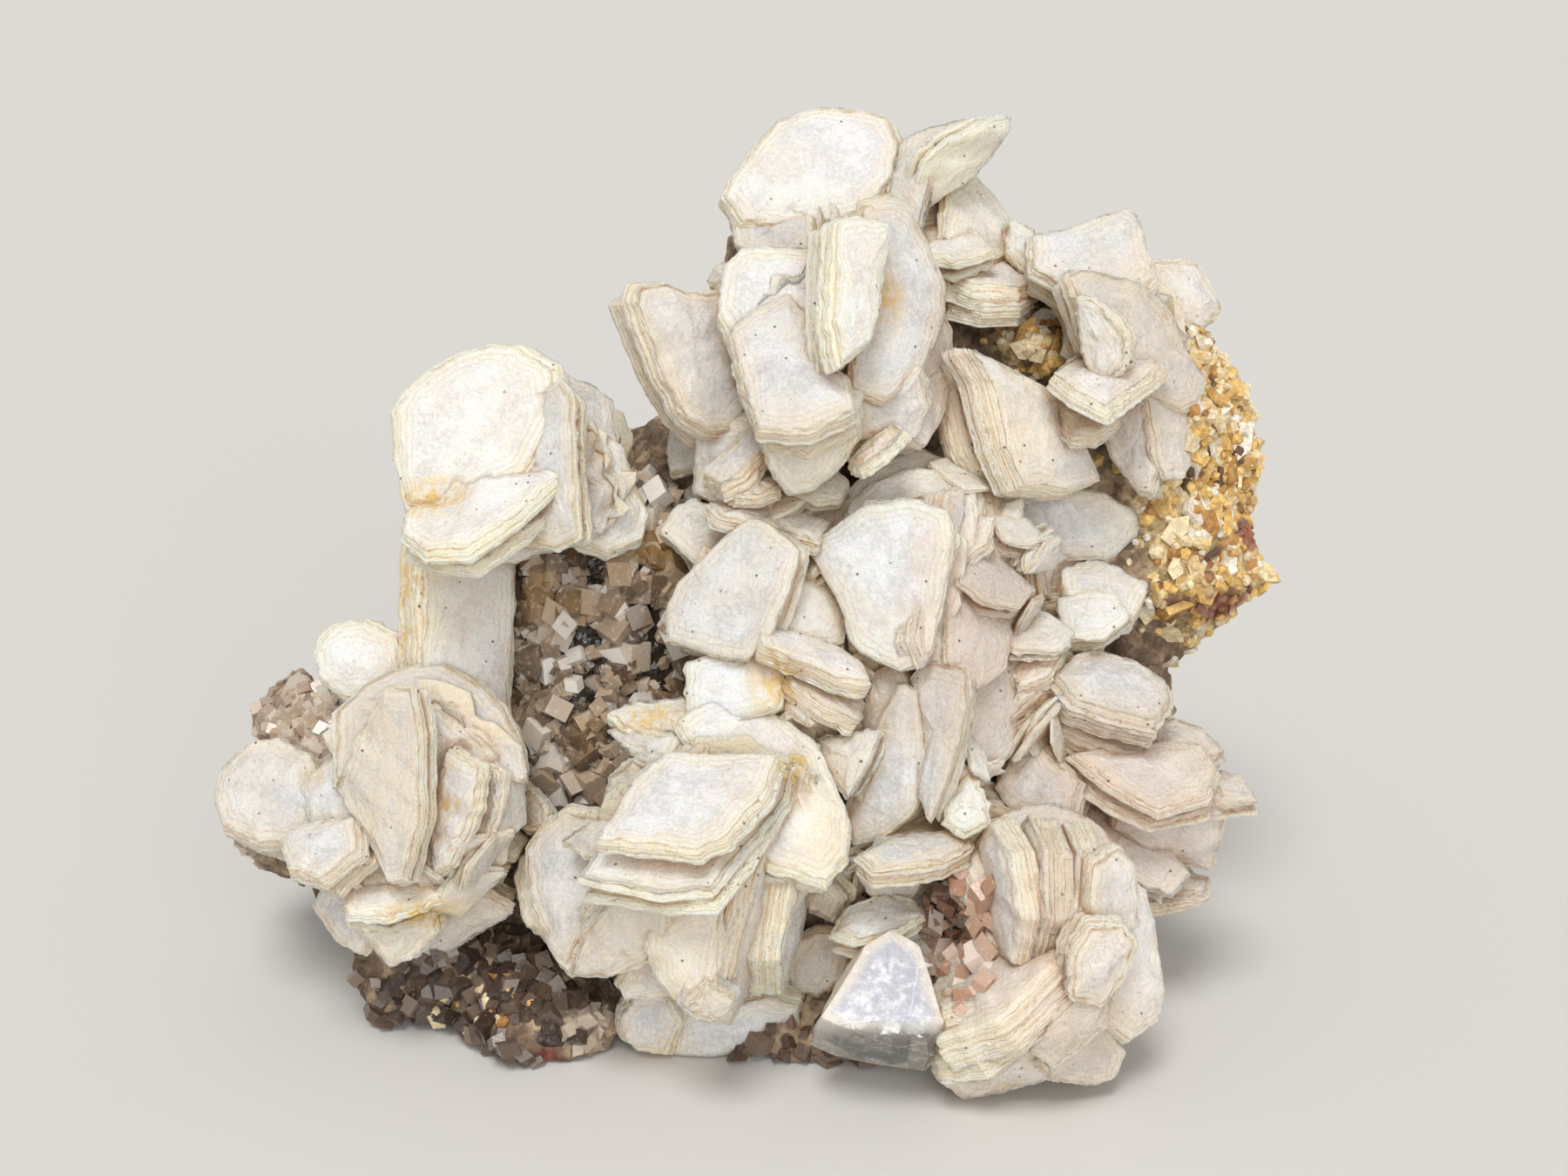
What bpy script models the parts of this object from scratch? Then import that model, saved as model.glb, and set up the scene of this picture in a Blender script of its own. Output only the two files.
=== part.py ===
"""Calcite specimen: rosettes of thick white tablets on a piece of drusy, iron-stained rock.

The origin is on the rock's flat broken underside, +Z is up, +X is to the right as the specimen is
displayed and -Y is its display side. It is made of the rock, crusts of small rhombs in its hollows,
and groups of calcite tablets, each group grown together as one solid.

Every tablet is sketched as it is seen from the display side. A sketch point (across, up) is in
millimetres on a plane through the middle of the specimen, and the tablet's depth says how far in
front of that plane its face lies. All other sizes are millimetres too, and MM turns them into metres.
"""

import math
import random
from collections import Counter, namedtuple

import bmesh
import bpy
from mathutils import Matrix, Vector, noise
from mathutils.bvhtree import BVHTree

MM = 0.001

# The display side: where the specimen is sketched from, and how far it leans back from that line.
SIGHT_DISTANCE = 260.0
SIGHT_TILT = math.radians(20.0)
SKETCH_HEIGHT = 57.5

# Neighbouring solids keep this gap.
GAP = 0.5

# The share of a cut solid's faces that is kept: the slivers along its seams go.
KEPT_FACES = 0.8

# The edge of a tablet: how far its bevel goes in, by its layer's thickness and at most, and how far
# down the layer its widest line lies. Thick tablets and all books show more layers than one.
RIM_SHARE = 0.28
RIM_MOST = 1.1
RIM_HEIGHT = 0.42
BACK_TAPER = 1.6
BEVELLED_TABLET = 6.5
THICK_TABLET = 9.5
THICK_BOOK = 5.5
SHARPEST_MITRE = 0.45

# Outlines are sketched this far inside the ragged rims.
TRACED_INSIDE = 0.4

# A heart is this much smaller at its front than where it is rooted.
HEART_TAPER = 2.0

# The stem that joins a tablet to its heart: its size beside the tablet's at both ends, how far it
# heads for the middle of the heart, and how deep it goes in.
STEM_TOP = 0.6
STEM_FOOT = 0.4
STEM_LEAN = 0.45
STEM_SUNK = 3.0
STEM_STEP = 0.5

# How fine the ellipsoids are that rock and crusts are made of.
LUMP_SUBDIVISIONS = 4

# The rock: ellipsoids as (centre, radii) in the sketch frame, the size of its ledges and pits, how
# much they stand out, how each shapes the relief, and how fine its mesh is.
ROCK_LUMPS = (
    ((8, -8, -23), (46, 38, 21)),
    ((0, -44, -22), (46, 22, 28)),
    ((50.5, 14, -13), (14, 26, 14)),
    ((34, 32, -18), (14, 13, 12)),
    ((10, 38, -21), (18, 20, 14)),
    ((-37, 6, -15), (13, 22, 12)),
    ((-57, -32, -8), (19, 11, 15)),
    ((-64, -21, -10), (8, 6, 9)),
    ((-47, -49, -5), (11, 8, 13)),
    ((-35, -59, -3), (11, 9, 12)),
    ((8, -61, -3), (16, 8, 13)),
    ((4, -26, -34), (38, 22, 22)),
)
ROCK_GRAIN = 1.6
ROCK_LEDGE = 15.0
ROCK_PIT = 6.0
ROCK_RELIEF = 4.6
RELIEF_BASE = 0.9
RELIEF_OF_LEDGES = 1.6
RELIEF_OF_PITS = 0.45
ROCK_FACES = 800

# The crusts of small rhombs: beds of crust as ellipsoids in the sketch frame, how many crystals are
# tried, their least and most size, the seed, and the depth that they are looked for at.
RHOMB_SQUAT = 0.8
RHOMB_TILT = 0.5
LOOKED_FROM = 40
CRUST_GRAIN = 0.9
CRUST_FACES = 130
CRUSTS = {
    "druse_crust": (
        (((-26, -4, -6), (15, 15, 7)), ((-25, -21, -5), (14, 11, 7)), ((-20, 9, -9), (9, 8, 6))),
        26, (3.0, 5.2), 5, -4,
    ),
    "druse_pocket": (
        (((25, -45, 1), (6.5, 8, 7)), ((23, -54, 3), (6, 7, 7))),
        12, (2.6, 4.2), 8, 0,
    ),
}
CRUST_SPREAD = {
    "druse_crust": ((-38, -10), (-28, 12)),
    "druse_pocket": ((19, 31), (-60, -36)),
}

# Plain finishes: colour, roughness and transmission.
LOOKS = {
    "white_calcite": ((0.74, 0.73, 0.70), 0.42, 0.0),
    "beige_calcite": ((0.68, 0.60, 0.50), 0.45, 0.0),
    "clear_calcite": ((0.80, 0.80, 0.77), 0.20, 0.6),
    "iron_rock": ((0.36, 0.22, 0.11), 0.9, 0.0),
    "brown_druse": ((0.30, 0.20, 0.13), 0.55, 0.0),
}
GROUP_LOOKS = {
    "clear_crystal": "clear_calcite",
    "right_shelf": "beige_calcite",
}
CALCITE_IOR = 1.6

# A tablet is (depth, lean, clock, thickness, corners). Lean is the angle between its face's normal and
# the line of sight, and clock is where the normal leans to: 0 right, 90 up, 180 left, 270 down.
Tablet = namedtuple("Tablet", "depth lean clock thick corners")

# A book is a stack of plates seen on its edge: (depth, lean, clock, thickness, centre, half length of
# its edge, half width away from the eye).
Book = namedtuple("Book", "depth lean clock thick centre half_length half_width")

# The heart is the intergrown middle of a group: its outline, and how deep it is rooted.
Heart = namedtuple("Heart", "front back corners")

# Groups in the order that they keep their shape: a later one is fitted round the earlier ones.
GROUPS = {
    "front_rosette": (
        (
            Heart(22, -8, ((-24, -30), (-12, -21), (3, -24), (5, -36), (-4, -50), (-14, -53), (-24, -46))),
            (
                Tablet(31, 45, 95, 2.6, ((-26, -34.5), (-21, -26.5), (-16.5, -22), (-1, -22.8), (-2.5, -28),
                                         (-8, -34), (-12, -36))),
                Tablet(28.5, 45, 95, 4.2, ((-29, -40), (-25.5, -34), (-15, -23), (1.5, -24.5), (0.5, -29),
                                           (-5, -36), (-10, -42), (-17, -42.8))),
                Tablet(20, 32, 70, 6, ((-15, -18), (-10, -15.3), (-4, -15.3), (1, -17.8), (5, -21), (7.5, -27),
                                       (9.6, -32), (9, -37), (6, -40.5), (-2, -38))),
                Book(27, 76, 344, 6.5, (-5.2, -43), 17.5, 9),
                Book(24, 80, 350, 6.0, (0.0, -41), 15.5, 9),
                Tablet(25, 32, 240, 7, ((-29.8, -54), (-28.5, -48), (-24, -42.5), (-16, -42.5), (-15.5, -50),
                                        (-20, -53), (-24.5, -54.2))),
                Tablet(20, 25, 275, 5, ((-23.5, -55.5), (-20, -50), (-11, -49), (-12, -56), (-15, -57.8),
                                        (-22, -57.2))),
                Tablet(27, 15, 250, 6, ((-19.5, -50), (-18.5, -46), (-14, -43.5), (-9, -44), (-8.5, -51),
                                        (-10, -56.5), (-12.5, -58.5), (-14.5, -58.3), (-17.5, -55))),
                Tablet(26.5, 20, 300, 5, ((-14, -58.3), (-10.8, -54.5), (-6.5, -57), (-7.5, -59.5),
                                          (-10, -60.4), (-12.5, -59.8))),
                Tablet(16, 28, 160, 5, ((-36, -36), (-34, -33), (-30.5, -30.5), (-26, -31.5), (-25, -38),
                                        (-27, -46), (-30.5, -52.5), (-32.5, -50), (-35.3, -44))),
                Tablet(11, 26, 165, 4.5, ((-38, -40), (-37, -37), (-31, -34), (-27, -42), (-30.8, -53.3),
                                          (-33, -49.2), (-36.5, -46))),
                Tablet(14, 42, 110, 5, ((-24.5, -17), (-20.5, -15.3), (-14, -14.8), (-11, -17), (-14, -21),
                                        (-20, -20))),
                Tablet(16, 40, 130, 4, ((-24.8, -19.5), (-21, -18.8), (-14, -20), (-15.5, -23.5), (-20, -24))),
                Tablet(17, 35, 170, 4, ((-25.5, -30), (-24.5, -26), (-21, -23.5), (-17, -26), (-21, -32))),
                Tablet(23, 40, 150, 3.5, ((-31.2, -35), (-27, -32), (-22, -32), (-24, -37), (-28, -37.2))),
            ),
        ),
    ),
    "lower_right_rosette": (
        (
            Heart(18, -14, ((26, -40), (33, -33), (45, -36), (50, -46), (48, -60), (36, -67), (25, -63))),
            (
                Tablet(15, 38, 88, 6, ((24, -37.5), (25.5, -34.5), (29, -31.5), (33, -29.7), (38, -29.3),
                                       (43, -31.5), (46.5, -35), (47, -40), (36, -44), (26, -42))),
                Book(27, 76, 186, 4.6, (32.2, -43.5), 9.5, 8),
                Book(27, 80, 178, 4.6, (36.6, -43.0), 9.5, 8),
                Book(26, 78, 172, 4.6, (41.0, -42.5), 8.5, 8),
                Tablet(25, 30, 15, 6, ((43, -38), (46.5, -35.6), (48.6, -38), (49.6, -43), (49.3, -47),
                                       (45, -49), (42.5, -44))),
                Book(27, 68, 128, 7.0, (31.5, -57.5), 12.0, 9),
                Book(24, 66, 122, 5.0, (27.2, -63.0), 7.0, 8),
                Tablet(28, 25, 320, 6, ((40, -51), (42.5, -46.8), (47, -46.6), (49, -49.5), (47, -54.5),
                                        (44, -58.2), (40, -57))),
                Tablet(25, 25, 290, 6, ((34, -64.5), (37, -60), (41, -56.5), (46, -57), (45, -61), (41, -64.6),
                                        (37.5, -66.8))),
                Tablet(17, 32, 5, 6, ((48, -40), (50.5, -41.5), (51.8, -46), (52.5, -51.5), (53.3, -56),
                                      (52.3, -60.3), (48.5, -63), (44, -60), (45, -48))),
                Tablet(19, 30, 325, 5, ((36, -66), (40, -60), (45, -59.5), (47.6, -64.5), (46, -68), (43, -69),
                                        (38, -68.5))),
                Tablet(20, 34, 262, 8, ((20.2, -66), (22, -60.5), (27, -60), (34, -64), (38.5, -68),
                                        (30, -70.4), (24.5, -71.3), (21.5, -69))),
            ),
        ),
    ),
    "clear_crystal": (
        (
            Heart(14, -10, ((8, -57), (13, -49), (19, -51), (20, -60), (15, -65), (9, -63))),
            (
                Tablet(22, 34, 84, 11, ((4.5, -59.5), (8, -53), (10.8, -48.5), (15, -46.4), (19, -49),
                                        (21, -54), (23, -60.5), (20.5, -63), (14, -62.2), (8, -61))),
            ),
        ),
    ),
    "left_rosette": (
        (
            Heart(14, -10, ((-62, -20), (-48, -13), (-38, -22), (-40, -38), (-50, -47), (-61, -42))),
            (
                Tablet(12, 28, 78, 6, ((-62.5, -17), (-57.5, -12.6), (-52, -10.4), (-47, -10), (-42.5, -12.3),
                                       (-38.5, -16.6), (-36, -22), (-35.6, -26.5), (-44, -27), (-62, -26))),
                Tablet(20, 24, 188, 5, ((-55.3, -13.6), (-52, -13.6), (-50.8, -20), (-50.6, -32), (-53, -40.6),
                                        (-55, -41), (-58.5, -34), (-62.3, -28), (-60, -21.5))),
                Book(17.5, 74, 4, 3.8, (-49.2, -29.8), 9.0, 7),
                Tablet(18.5, 38, 172, 7, ((-47, -22.5), (-42.5, -25), (-43.5, -31), (-46.5, -38.5),
                                          (-49, -40), (-49.5, -30))),
                Tablet(12, 38, 160, 5, ((-67.5, -28), (-66, -25.5), (-62.5, -23), (-58, -25), (-58, -32),
                                        (-66, -33))),
                Tablet(17, 44, 130, 6.5, ((-70.3, -35), (-69, -33), (-64, -31.4), (-59.5, -31.4), (-59, -36),
                                          (-64.5, -40.3), (-69, -39))),
                Tablet(16, 46, 88, 4, ((-61.6, -41), (-57, -39.6), (-49, -40.5), (-46.5, -42), (-50, -43.7),
                                       (-55, -45.4), (-60.6, -45))),
                Tablet(11, 26, 190, 7, ((-65.6, -44), (-64.2, -41.2), (-59, -40), (-55.5, -46), (-58.5, -51),
                                        (-62, -49.2))),
                Tablet(14.5, 24, 300, 7, ((-59, -47.2), (-55, -44.6), (-49, -43.6), (-47.8, -48), (-51, -51.6),
                                          (-54.6, -52.8))),
                Tablet(9, 34, 275, 6, ((-49, -43.6), (-45, -42), (-41, -43), (-37.2, -45.3), (-41, -47.6),
                                       (-46, -50.6), (-51, -51.8))),
                Tablet(10, 26, 285, 5, ((-45, -39.8), (-43.5, -36.3), (-40.5, -35.4), (-38.2, -37.4),
                                        (-39.4, -41.3), (-42.6, -41.9))),
                Tablet(9, 50, 45, 4, ((-41.5, -33), (-39.5, -30.4), (-35, -34.4), (-36.6, -37.2),
                                      (-39.5, -36.4))),
                Tablet(8, 36, 150, 4, ((-38.4, -28.4), (-36.2, -27), (-33.4, -30.5), (-33.6, -32.8),
                                       (-36, -32.9), (-38, -31))),
            ),
        ),
    ),
    "upper_rosette": (
        (
            Heart(12, -16, ((-4, 42), (6, 49), (17, 46), (20, 34), (14, 22), (2, 16), (-5, 26))),
            (
                Tablet(23, 32, 18, 10, ((8, 51), (11, 51.8), (15, 50.8), (14.7, 45), (13.6, 38), (12.3, 34),
                                        (8.6, 31), (7.4, 37), (7.8, 45))),
                Tablet(12, 22, 112, 6, ((-9.3, 38), (-8.3, 45), (-6, 47.2), (-2, 47.4), (5, 47), (8, 40),
                                        (2, 32), (-7, 33))),
                Tablet(19, 34, 100, 7, ((-7.6, 36.4), (-4.5, 38.8), (0.5, 41), (3, 38.5), (5, 32), (8.8, 29.5),
                                        (9.8, 25), (3, 22), (-3.6, 22.5), (-6.2, 30))),
                Tablet(19, 26, 268, 9, ((-4.6, 25), (3, 25.5), (9.9, 25), (9.4, 19.5), (7, 15.5), (3.5, 12.8),
                                        (0.5, 12.4), (-1.8, 15.5))),
                Tablet(15, 22, 8, 6, ((11, 53.4), (15, 54.4), (17.4, 52.8), (20.3, 47.5), (22.6, 42),
                                      (22.4, 37), (19.5, 30), (14, 25.5), (9.5, 27), (10, 40))),
                Tablet(10, 30, 2, 6, ((21, 42), (23.8, 36), (24, 31), (22.8, 24.5), (20, 19.4), (15, 21),
                                      (14, 32))),
                Tablet(14, 30, 300, 6, ((9, 26), (15, 27.5), (19, 30), (20.5, 25), (18.5, 20.4), (13, 19.6),
                                        (9, 20.4))),
                Tablet(17, 55, 130, 2.6, ((8.4, 17.4), (11, 20.4), (15, 23), (16.3, 22), (13, 18.8),
                                          (10, 16.8))),
                Tablet(7, 20, 200, 6, ((-12.6, 21.5), (-12.8, 13), (-8, 11), (3, 10), (6, 14), (-2, 24),
                                       (-8, 23))),
                Tablet(12, 50, 120, 3, ((-11.6, 16.4), (-8, 19.6), (-4, 23.2), (-2.5, 20), (-6, 16),
                                        (-9, 14.4))),
                Tablet(12, 55, 95, 3, ((-8.4, 15), (-5, 17.2), (-1.8, 17.2), (-0.6, 14.6), (-3.5, 13.4),
                                       (-6.6, 13.5))),
                Tablet(11, 60, 80, 3.2, ((-10.5, 12.3), (-3, 12.2), (3, 11.4), (7, 9.6), (5, 7), (-2, 9),
                                         (-9, 10.6))),
                Tablet(3, 40, 160, 3, ((-11.2, 42.4), (-9.5, 45), (-6, 46), (-5, 41), (-9, 40.6))),
            ),
        ),
        (
            Heart(2, -14, ((-12, 36), (-4, 36), (-2, 22), (-9, 22))),
            (
                Tablet(-3, 38, 166, 4.2, ((-15.7, 24.8), (-16.8, 19), (-16.2, 15.6), (-12, 17),
                                          (-8, 20), (-8.6, 25.5))),
                Tablet(8, 27, 12, 8, ((-20.6, 39.8), (-20, 42), (-16, 42.3), (-13.3, 40.9), (-8, 41),
                                      (-5.5, 34), (-4, 25), (-7, 21.6), (-10, 21.4), (-13.4, 23.5),
                                      (-17, 30))),
            ),
        ),
    ),
    "crown_rosette": (
        (
            Heart(-8, -22, ((-4, 62), (6, 63), (15, 58), (24, 54), (26, 44), (8, 42), (-4, 48))),
            (
                Tablet(-5, 22, 112, 7.5, ((-8.7, 54.5), (-7.5, 57), (-3.5, 62.5), (-1, 65), (5, 67.1),
                                          (10, 66.9), (14.6, 65.6), (16.2, 62.3), (15.5, 57), (11, 52),
                                          (2, 50), (-6, 50.5))),
                Tablet(-2.5, 28, 125, 7, ((-8, 51.5), (-5, 54), (1, 53), (6, 50.5), (3, 47), (-3, 46.4),
                                          (-7, 47.4))),
                Book(-1, 72, 128, 4.2, (21.2, 59.6), 9.0, 8),
                Book(0, 76, 132, 4.2, (24.6, 58.8), 10.0, 8),
                Tablet(-6, 42, 28, 5, ((26.8, 57.2), (29.5, 54.4), (32, 50.6), (32, 46), (27, 45), (22, 49),
                                       (22.5, 55))),
                Tablet(-1, 46, 92, 4, ((18, 50.2), (22, 51.4), (27, 49.6), (29, 47), (24, 45.4), (19, 46))),
            ),
        ),
        (
            Heart(-6, -20, ((23, 44), (33, 44), (33, 39), (24, 39))),
            (
                Book(1, 62, 82, 4.2, (28.2, 43.6), 7.6, 7),
                Book(2, 66, 88, 3.6, (29.2, 40.4), 6.4, 7),
            ),
        ),
    ),
    "upper_right_rosette": (
        (
            Heart(0, -20, ((38, 46), (48, 48), (56, 38), (56, 24), (48, 20), (40, 26))),
            (
                Tablet(13, 27, 200, 4, ((40.2, 40), (42.5, 39.6), (45.5, 37), (47.2, 34.5), (46.8, 30.5),
                                        (44.6, 28.2), (42.4, 28.8), (41, 32.5))),
                Tablet(10, 56, 88, 2.6, ((36.9, 30), (41, 33), (46, 34.6), (49, 33.6), (52.8, 31.3),
                                         (49, 28.5), (44.5, 25.2), (40, 27.5))),
                Tablet(8.5, 48, 92, 3, ((37.3, 26), (41, 28), (47, 26.5), (46.6, 24), (43.4, 21.8),
                                        (40.4, 21.9))),
                Tablet(6, 30, 12, 5, ((39.6, 43.4), (41, 44.4), (45.5, 43.6), (50.5, 42), (54, 38.6),
                                      (56, 33), (59, 28.6), (58, 25.4), (55.5, 24.4), (50, 27), (43, 34))),
                Tablet(1, 32, 82, 6, ((33.8, 49.3), (38, 50), (43, 51.7), (47.6, 52.9), (49.2, 51.8),
                                      (50.4, 48), (52, 43), (48, 39), (40, 41), (34, 44.5))),
                Tablet(-5, 30, 120, 4, ((31.3, 51.4), (34.5, 50), (37, 46), (34, 43.5), (30.6, 46.5))),
                Tablet(-5, 28, 25, 6, ((50.5, 45.4), (55, 45.8), (57.6, 45.3), (59.2, 42.4), (61, 38.6),
                                       (58, 36), (50, 38))),
                Tablet(4, 33, 8, 4.5, ((50.4, 28), (51.8, 18), (53, 15.2), (55.6, 15), (57.5, 19.5),
                                       (56.8, 24.5), (54.8, 27.5))),
                Tablet(4, 30, 190, 5.5, ((43.4, 22), (47, 25.6), (50.4, 28), (51, 22), (51.4, 15.6),
                                         (50.6, 13), (48.6, 13.4), (45, 18))),
            ),
        ),
        (
            Heart(-2, -18, ((30, 28), (37, 25), (40, 17), (32, 17))),
            (
                Tablet(10, 36, 8, 13, ((26.3, 33.2), (31, 31.2), (37, 28), (40, 25.4), (42.4, 20), (44.3, 15),
                                       (40, 13.3), (33.4, 14.2), (31, 20), (28.8, 29))),
            ),
        ),
    ),
    "middle_cluster": (
        (
            Heart(5, -14, ((-12, -12), (-12, 6), (-2, 9), (8, 16), (20, 18), (30, 13), (34, 6), (34, -12),
                           (33, -22), (28, -32), (22, -36), (10, -38), (9, -24), (0, -22))),
            (),
        ),
        (
            Heart(8, -14, ((8, 10), (20, 14), (27, 10), (24, -6), (14, -9), (8, -2))),
            (
                Tablet(17, 24, 172, 6, ((3.4, 5.4), (6, 7.2), (11, 10.8), (17, 11.6), (21.6, 10.2), (22.4, 6),
                                        (21, -1), (19.4, -8.5), (15.5, -10.6), (10, -8), (7.4, -1))),
                Tablet(16, 42, 8, 3.6, ((22.4, 12.6), (25, 13.2), (24.8, 7), (23.6, 0.5), (22, -6.4),
                                        (20, -10), (18.6, -6), (20.6, 3))),
                Tablet(11, 27, 95, 6, ((9.6, 9), (9.8, 12.2), (12.5, 14.6), (17, 16.4), (22, 16.3), (26, 14),
                                       (26, 6), (18, 4), (11, 5))),
                Tablet(7, 27, 78, 6, ((9.6, 13.5), (14, 18), (18.4, 19.6), (23, 17.4), (28, 14.6), (30.4, 12),
                                      (30.6, 7.6), (27, 5), (14, 8))),
                Tablet(13, 20, 262, 5, ((8.6, -3.6), (13, -2.6), (18.6, -4.4), (20.2, -8), (18, -11.4),
                                        (12.6, -12.2), (9.4, -8.6))),
            ),
        ),
        (
            Heart(5, -14, ((-12, 3), (-4, 8), (6, 2), (7, -6), (-3, -7), (-12, -5))),
            (
                Tablet(15, 28, 152, 6, ((-16.2, -3.5), (-14.6, 0.6), (-10, 5.2), (-5.6, 9), (-3.6, 9),
                                        (1.2, 5.2), (0, 0), (-2.6, -6), (-5.6, -9.2), (-10, -8.6),
                                        (-15.8, -6.6))),
                Tablet(12.5, 24, 40, 6, ((-2.4, -5), (-0.6, 4), (3.4, 3), (7.6, -0.4), (9, -4), (8, -7.4),
                                         (3, -8), (-1, -7.4))),
                Tablet(5, 24, 110, 5, ((-17, 8.2), (-15, 11.2), (-12.6, 12.3), (-9, 11.2), (-6, 9),
                                       (-8, 5), (-12.6, 4))),
                Tablet(6, 36, 80, 4, ((-2.6, 6.8), (-0.8, 8.2), (2, 8.2), (3.4, 5.4), (1, 3), (-2.6, 4))),
            ),
        ),
        (
            Heart(8, -12, ((-10, -10), (2, -8), (10, -12), (10, -24), (0, -22), (-10, -18))),
            (
                Tablet(16, 18, 118, 6, ((-13.3, -10.4), (-9, -9), (-3.4, -8.2), (-0.6, -10.5), (-1, -16),
                                        (-7, -18), (-13.2, -17))),
                Tablet(18, 56, 68, 3.4, ((-3, -5), (2, -6), (7, -7.5), (10.6, -10), (11.6, -12.4), (7, -11.6),
                                         (1.5, -9.2), (-2.4, -7.6))),
                Tablet(16, 52, 60, 3.4, ((-0.6, -9.6), (4, -11), (8, -12.6), (11, -15.4), (10.6, -18),
                                         (6, -16), (2, -13))),
                Tablet(16, 34, 190, 4, ((-1.8, -11.4), (0.4, -12), (2.4, -14), (3, -19), (0, -17.4),
                                        (-2.2, -15.6))),
                Tablet(13, 20, 250, 5, ((0.6, -12.6), (5, -13.4), (9, -17), (11, -20.4), (7, -22), (3, -20))),
                Tablet(16.5, 30, 160, 5, ((4.6, -21), (9, -20.2), (13.2, -19.4), (11.6, -24), (8.6, -29.2),
                                          (6.4, -26.4))),
            ),
        ),
        (
            Heart(9, -12, ((12, -14), (24, -14), (24, -28), (18, -31), (11, -30))),
            (
                Tablet(18, 30, 176, 5, ((17.4, -12.6), (20, -10.8), (24.6, -12), (24.8, -18), (22.4, -26),
                                        (20, -31.8), (18.4, -28), (18.6, -20))),
                Tablet(15.5, 24, 186, 6, ((13.4, -18), (15.8, -14), (18, -15), (18.8, -22), (19, -27),
                                          (17.4, -30.8), (13.6, -34), (9.6, -35), (8.6, -30), (11.4, -23))),
                Tablet(14, 34, 165, 4, ((11.2, -16), (12.4, -11.6), (15, -10.6), (16.6, -13), (15.6, -19),
                                        (12, -22), (10.6, -20))),
                Tablet(17, 28, 100, 5, ((23, -29.4), (25.4, -25.6), (27.6, -29), (28, -32.2), (25, -33.4),
                                        (22.4, -32))),
                Tablet(19, 60, 84, 3.4, ((11, -36.4), (15.6, -34), (20, -33.6), (24.4, -33.4), (25.4, -35),
                                         (22, -37), (17, -37.8), (13, -38.2))),
            ),
        ),
        (
            Heart(5, -14, ((26, 3), (34, -2), (34, -12), (31, -20), (26, -18), (24, -6))),
            (
                Tablet(13, 50, 48, 5, ((24.4, 4), (27.2, 6.6), (31, 3.4), (34.6, 0.2), (32.6, -2.4),
                                       (28, -1.6), (25, 1))),
                Tablet(14, 34, 18, 6, ((23, 0.6), (26.6, 0.6), (29.8, -2.6), (31.8, -6.4), (30.6, -11),
                                       (27, -13.6), (23, -10))),
                Tablet(11.5, 28, 0, 6, ((26, -13), (30.8, -10.4), (32.4, -15), (33, -21), (31, -23.4),
                                        (27.8, -25.6), (25, -24))),
                Tablet(8, 50, 76, 5, ((30, -4), (33, -2.6), (36.4, -3.2), (40.2, -5.8), (38, -8.4), (32, -8))),
                Tablet(8.5, 48, 100, 4, ((31.4, -9.4), (34, -7.8), (38.4, -8.6), (36.4, -11.6),
                                         (32.4, -13.2))),
            ),
        ),
        (
            Heart(-6, -18, ((28, 12), (44, 11), (47, 0), (40, -4), (28, -4))),
            (
                Tablet(-1, 14, 250, 6, ((30.5, 12.8), (36, 13.6), (44, 12.6), (49, 9.4), (48, 6.8), (45, 4.2),
                                        (38, 4), (32, 7))),
                Book(3, 76, 6, 5.6, (35.2, 1.8), 4.8, 6),
                Tablet(0, 40, 80, 4, ((38.8, 2.4), (43, 4.3), (50.2, 5.2), (50.6, 1), (48.4, -3.4), (43, -1.4),
                                      (39.2, -0.4))),
                Tablet(4, 30, 100, 5, ((38, -1.4), (42, -0.2), (46, -0.8), (47.6, -4), (44, -6.6),
                                       (39, -6.6))),
            ),
        ),
    ),
    "right_shelf": (
        (
            Heart(-2, -18, ((38, -10), (50, -12), (55, -20), (55, -32), (46, -34), (37, -24))),
            (
                Tablet(8, 50, 78, 12, ((37.4, -11.6), (40, -8.4), (43, -7.6), (49, -9.8), (53, -12.4),
                                       (53.7, -15), (51.6, -18.4), (45, -17), (40, -15))),
                Tablet(10, 50, 80, 5, ((40, -22.6), (45, -21.8), (52, -20.8), (58.4, -21.4), (60.4, -25),
                                       (59, -28.4), (52, -30.6), (46, -27.4))),
                Tablet(3, 50, 72, 4, ((50.6, -18.6), (54, -17.6), (58, -19.2), (61, -22.4), (58, -24),
                                      (52, -22.6))),
                Tablet(5, 56, 82, 3.4, ((54, -25.4), (60.6, -24.6), (63.8, -25.8), (65.7, -28.8),
                                        (61, -29.6), (55, -29.6))),
                Tablet(7, 30, 290, 8, ((46, -28.4), (53, -29), (60, -29.6), (61.6, -31), (60.2, -36),
                                       (59.2, -39.4), (53, -38), (46, -33.6))),
                Tablet(2, 52, 84, 3, ((49, -40), (54, -38.6), (58.9, -39.8), (58.6, -41.6), (56, -42.6),
                                      (50.6, -43.4))),
            ),
        ),
        (
            Heart(2, -14, ((31, -24), (37, -24), (48, -34), (50, -40), (40, -36), (31, -30))),
            (
                Tablet(9, 24, 140, 6, ((28.8, -27.4), (31, -23.4), (34.4, -20.8), (37, -22.4), (41, -27),
                                       (40, -31), (35, -32), (31, -31))),
                Tablet(6, 28, 65, 7, ((37, -26), (42, -27.4), (47, -30), (52, -34), (56.5, -39.4), (54, -42.6),
                                      (46, -40), (39, -33))),
            ),
        ),
    ),
    "upper_left_rosette": (
        (
            Heart(8, -16, ((-46, 26), (-36, 29), (-26, 24), (-21, 12), (-24, 6), (-36, 8), (-46, 14))),
            (
                Tablet(17.5, 48, 106, 6, ((-53.2, 8), (-52.6, 11), (-49, 12.2), (-43, 17.6), (-38, 19),
                                          (-31, 16), (-37, 10.5), (-44, 5.6), (-50, 5.4))),
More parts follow.
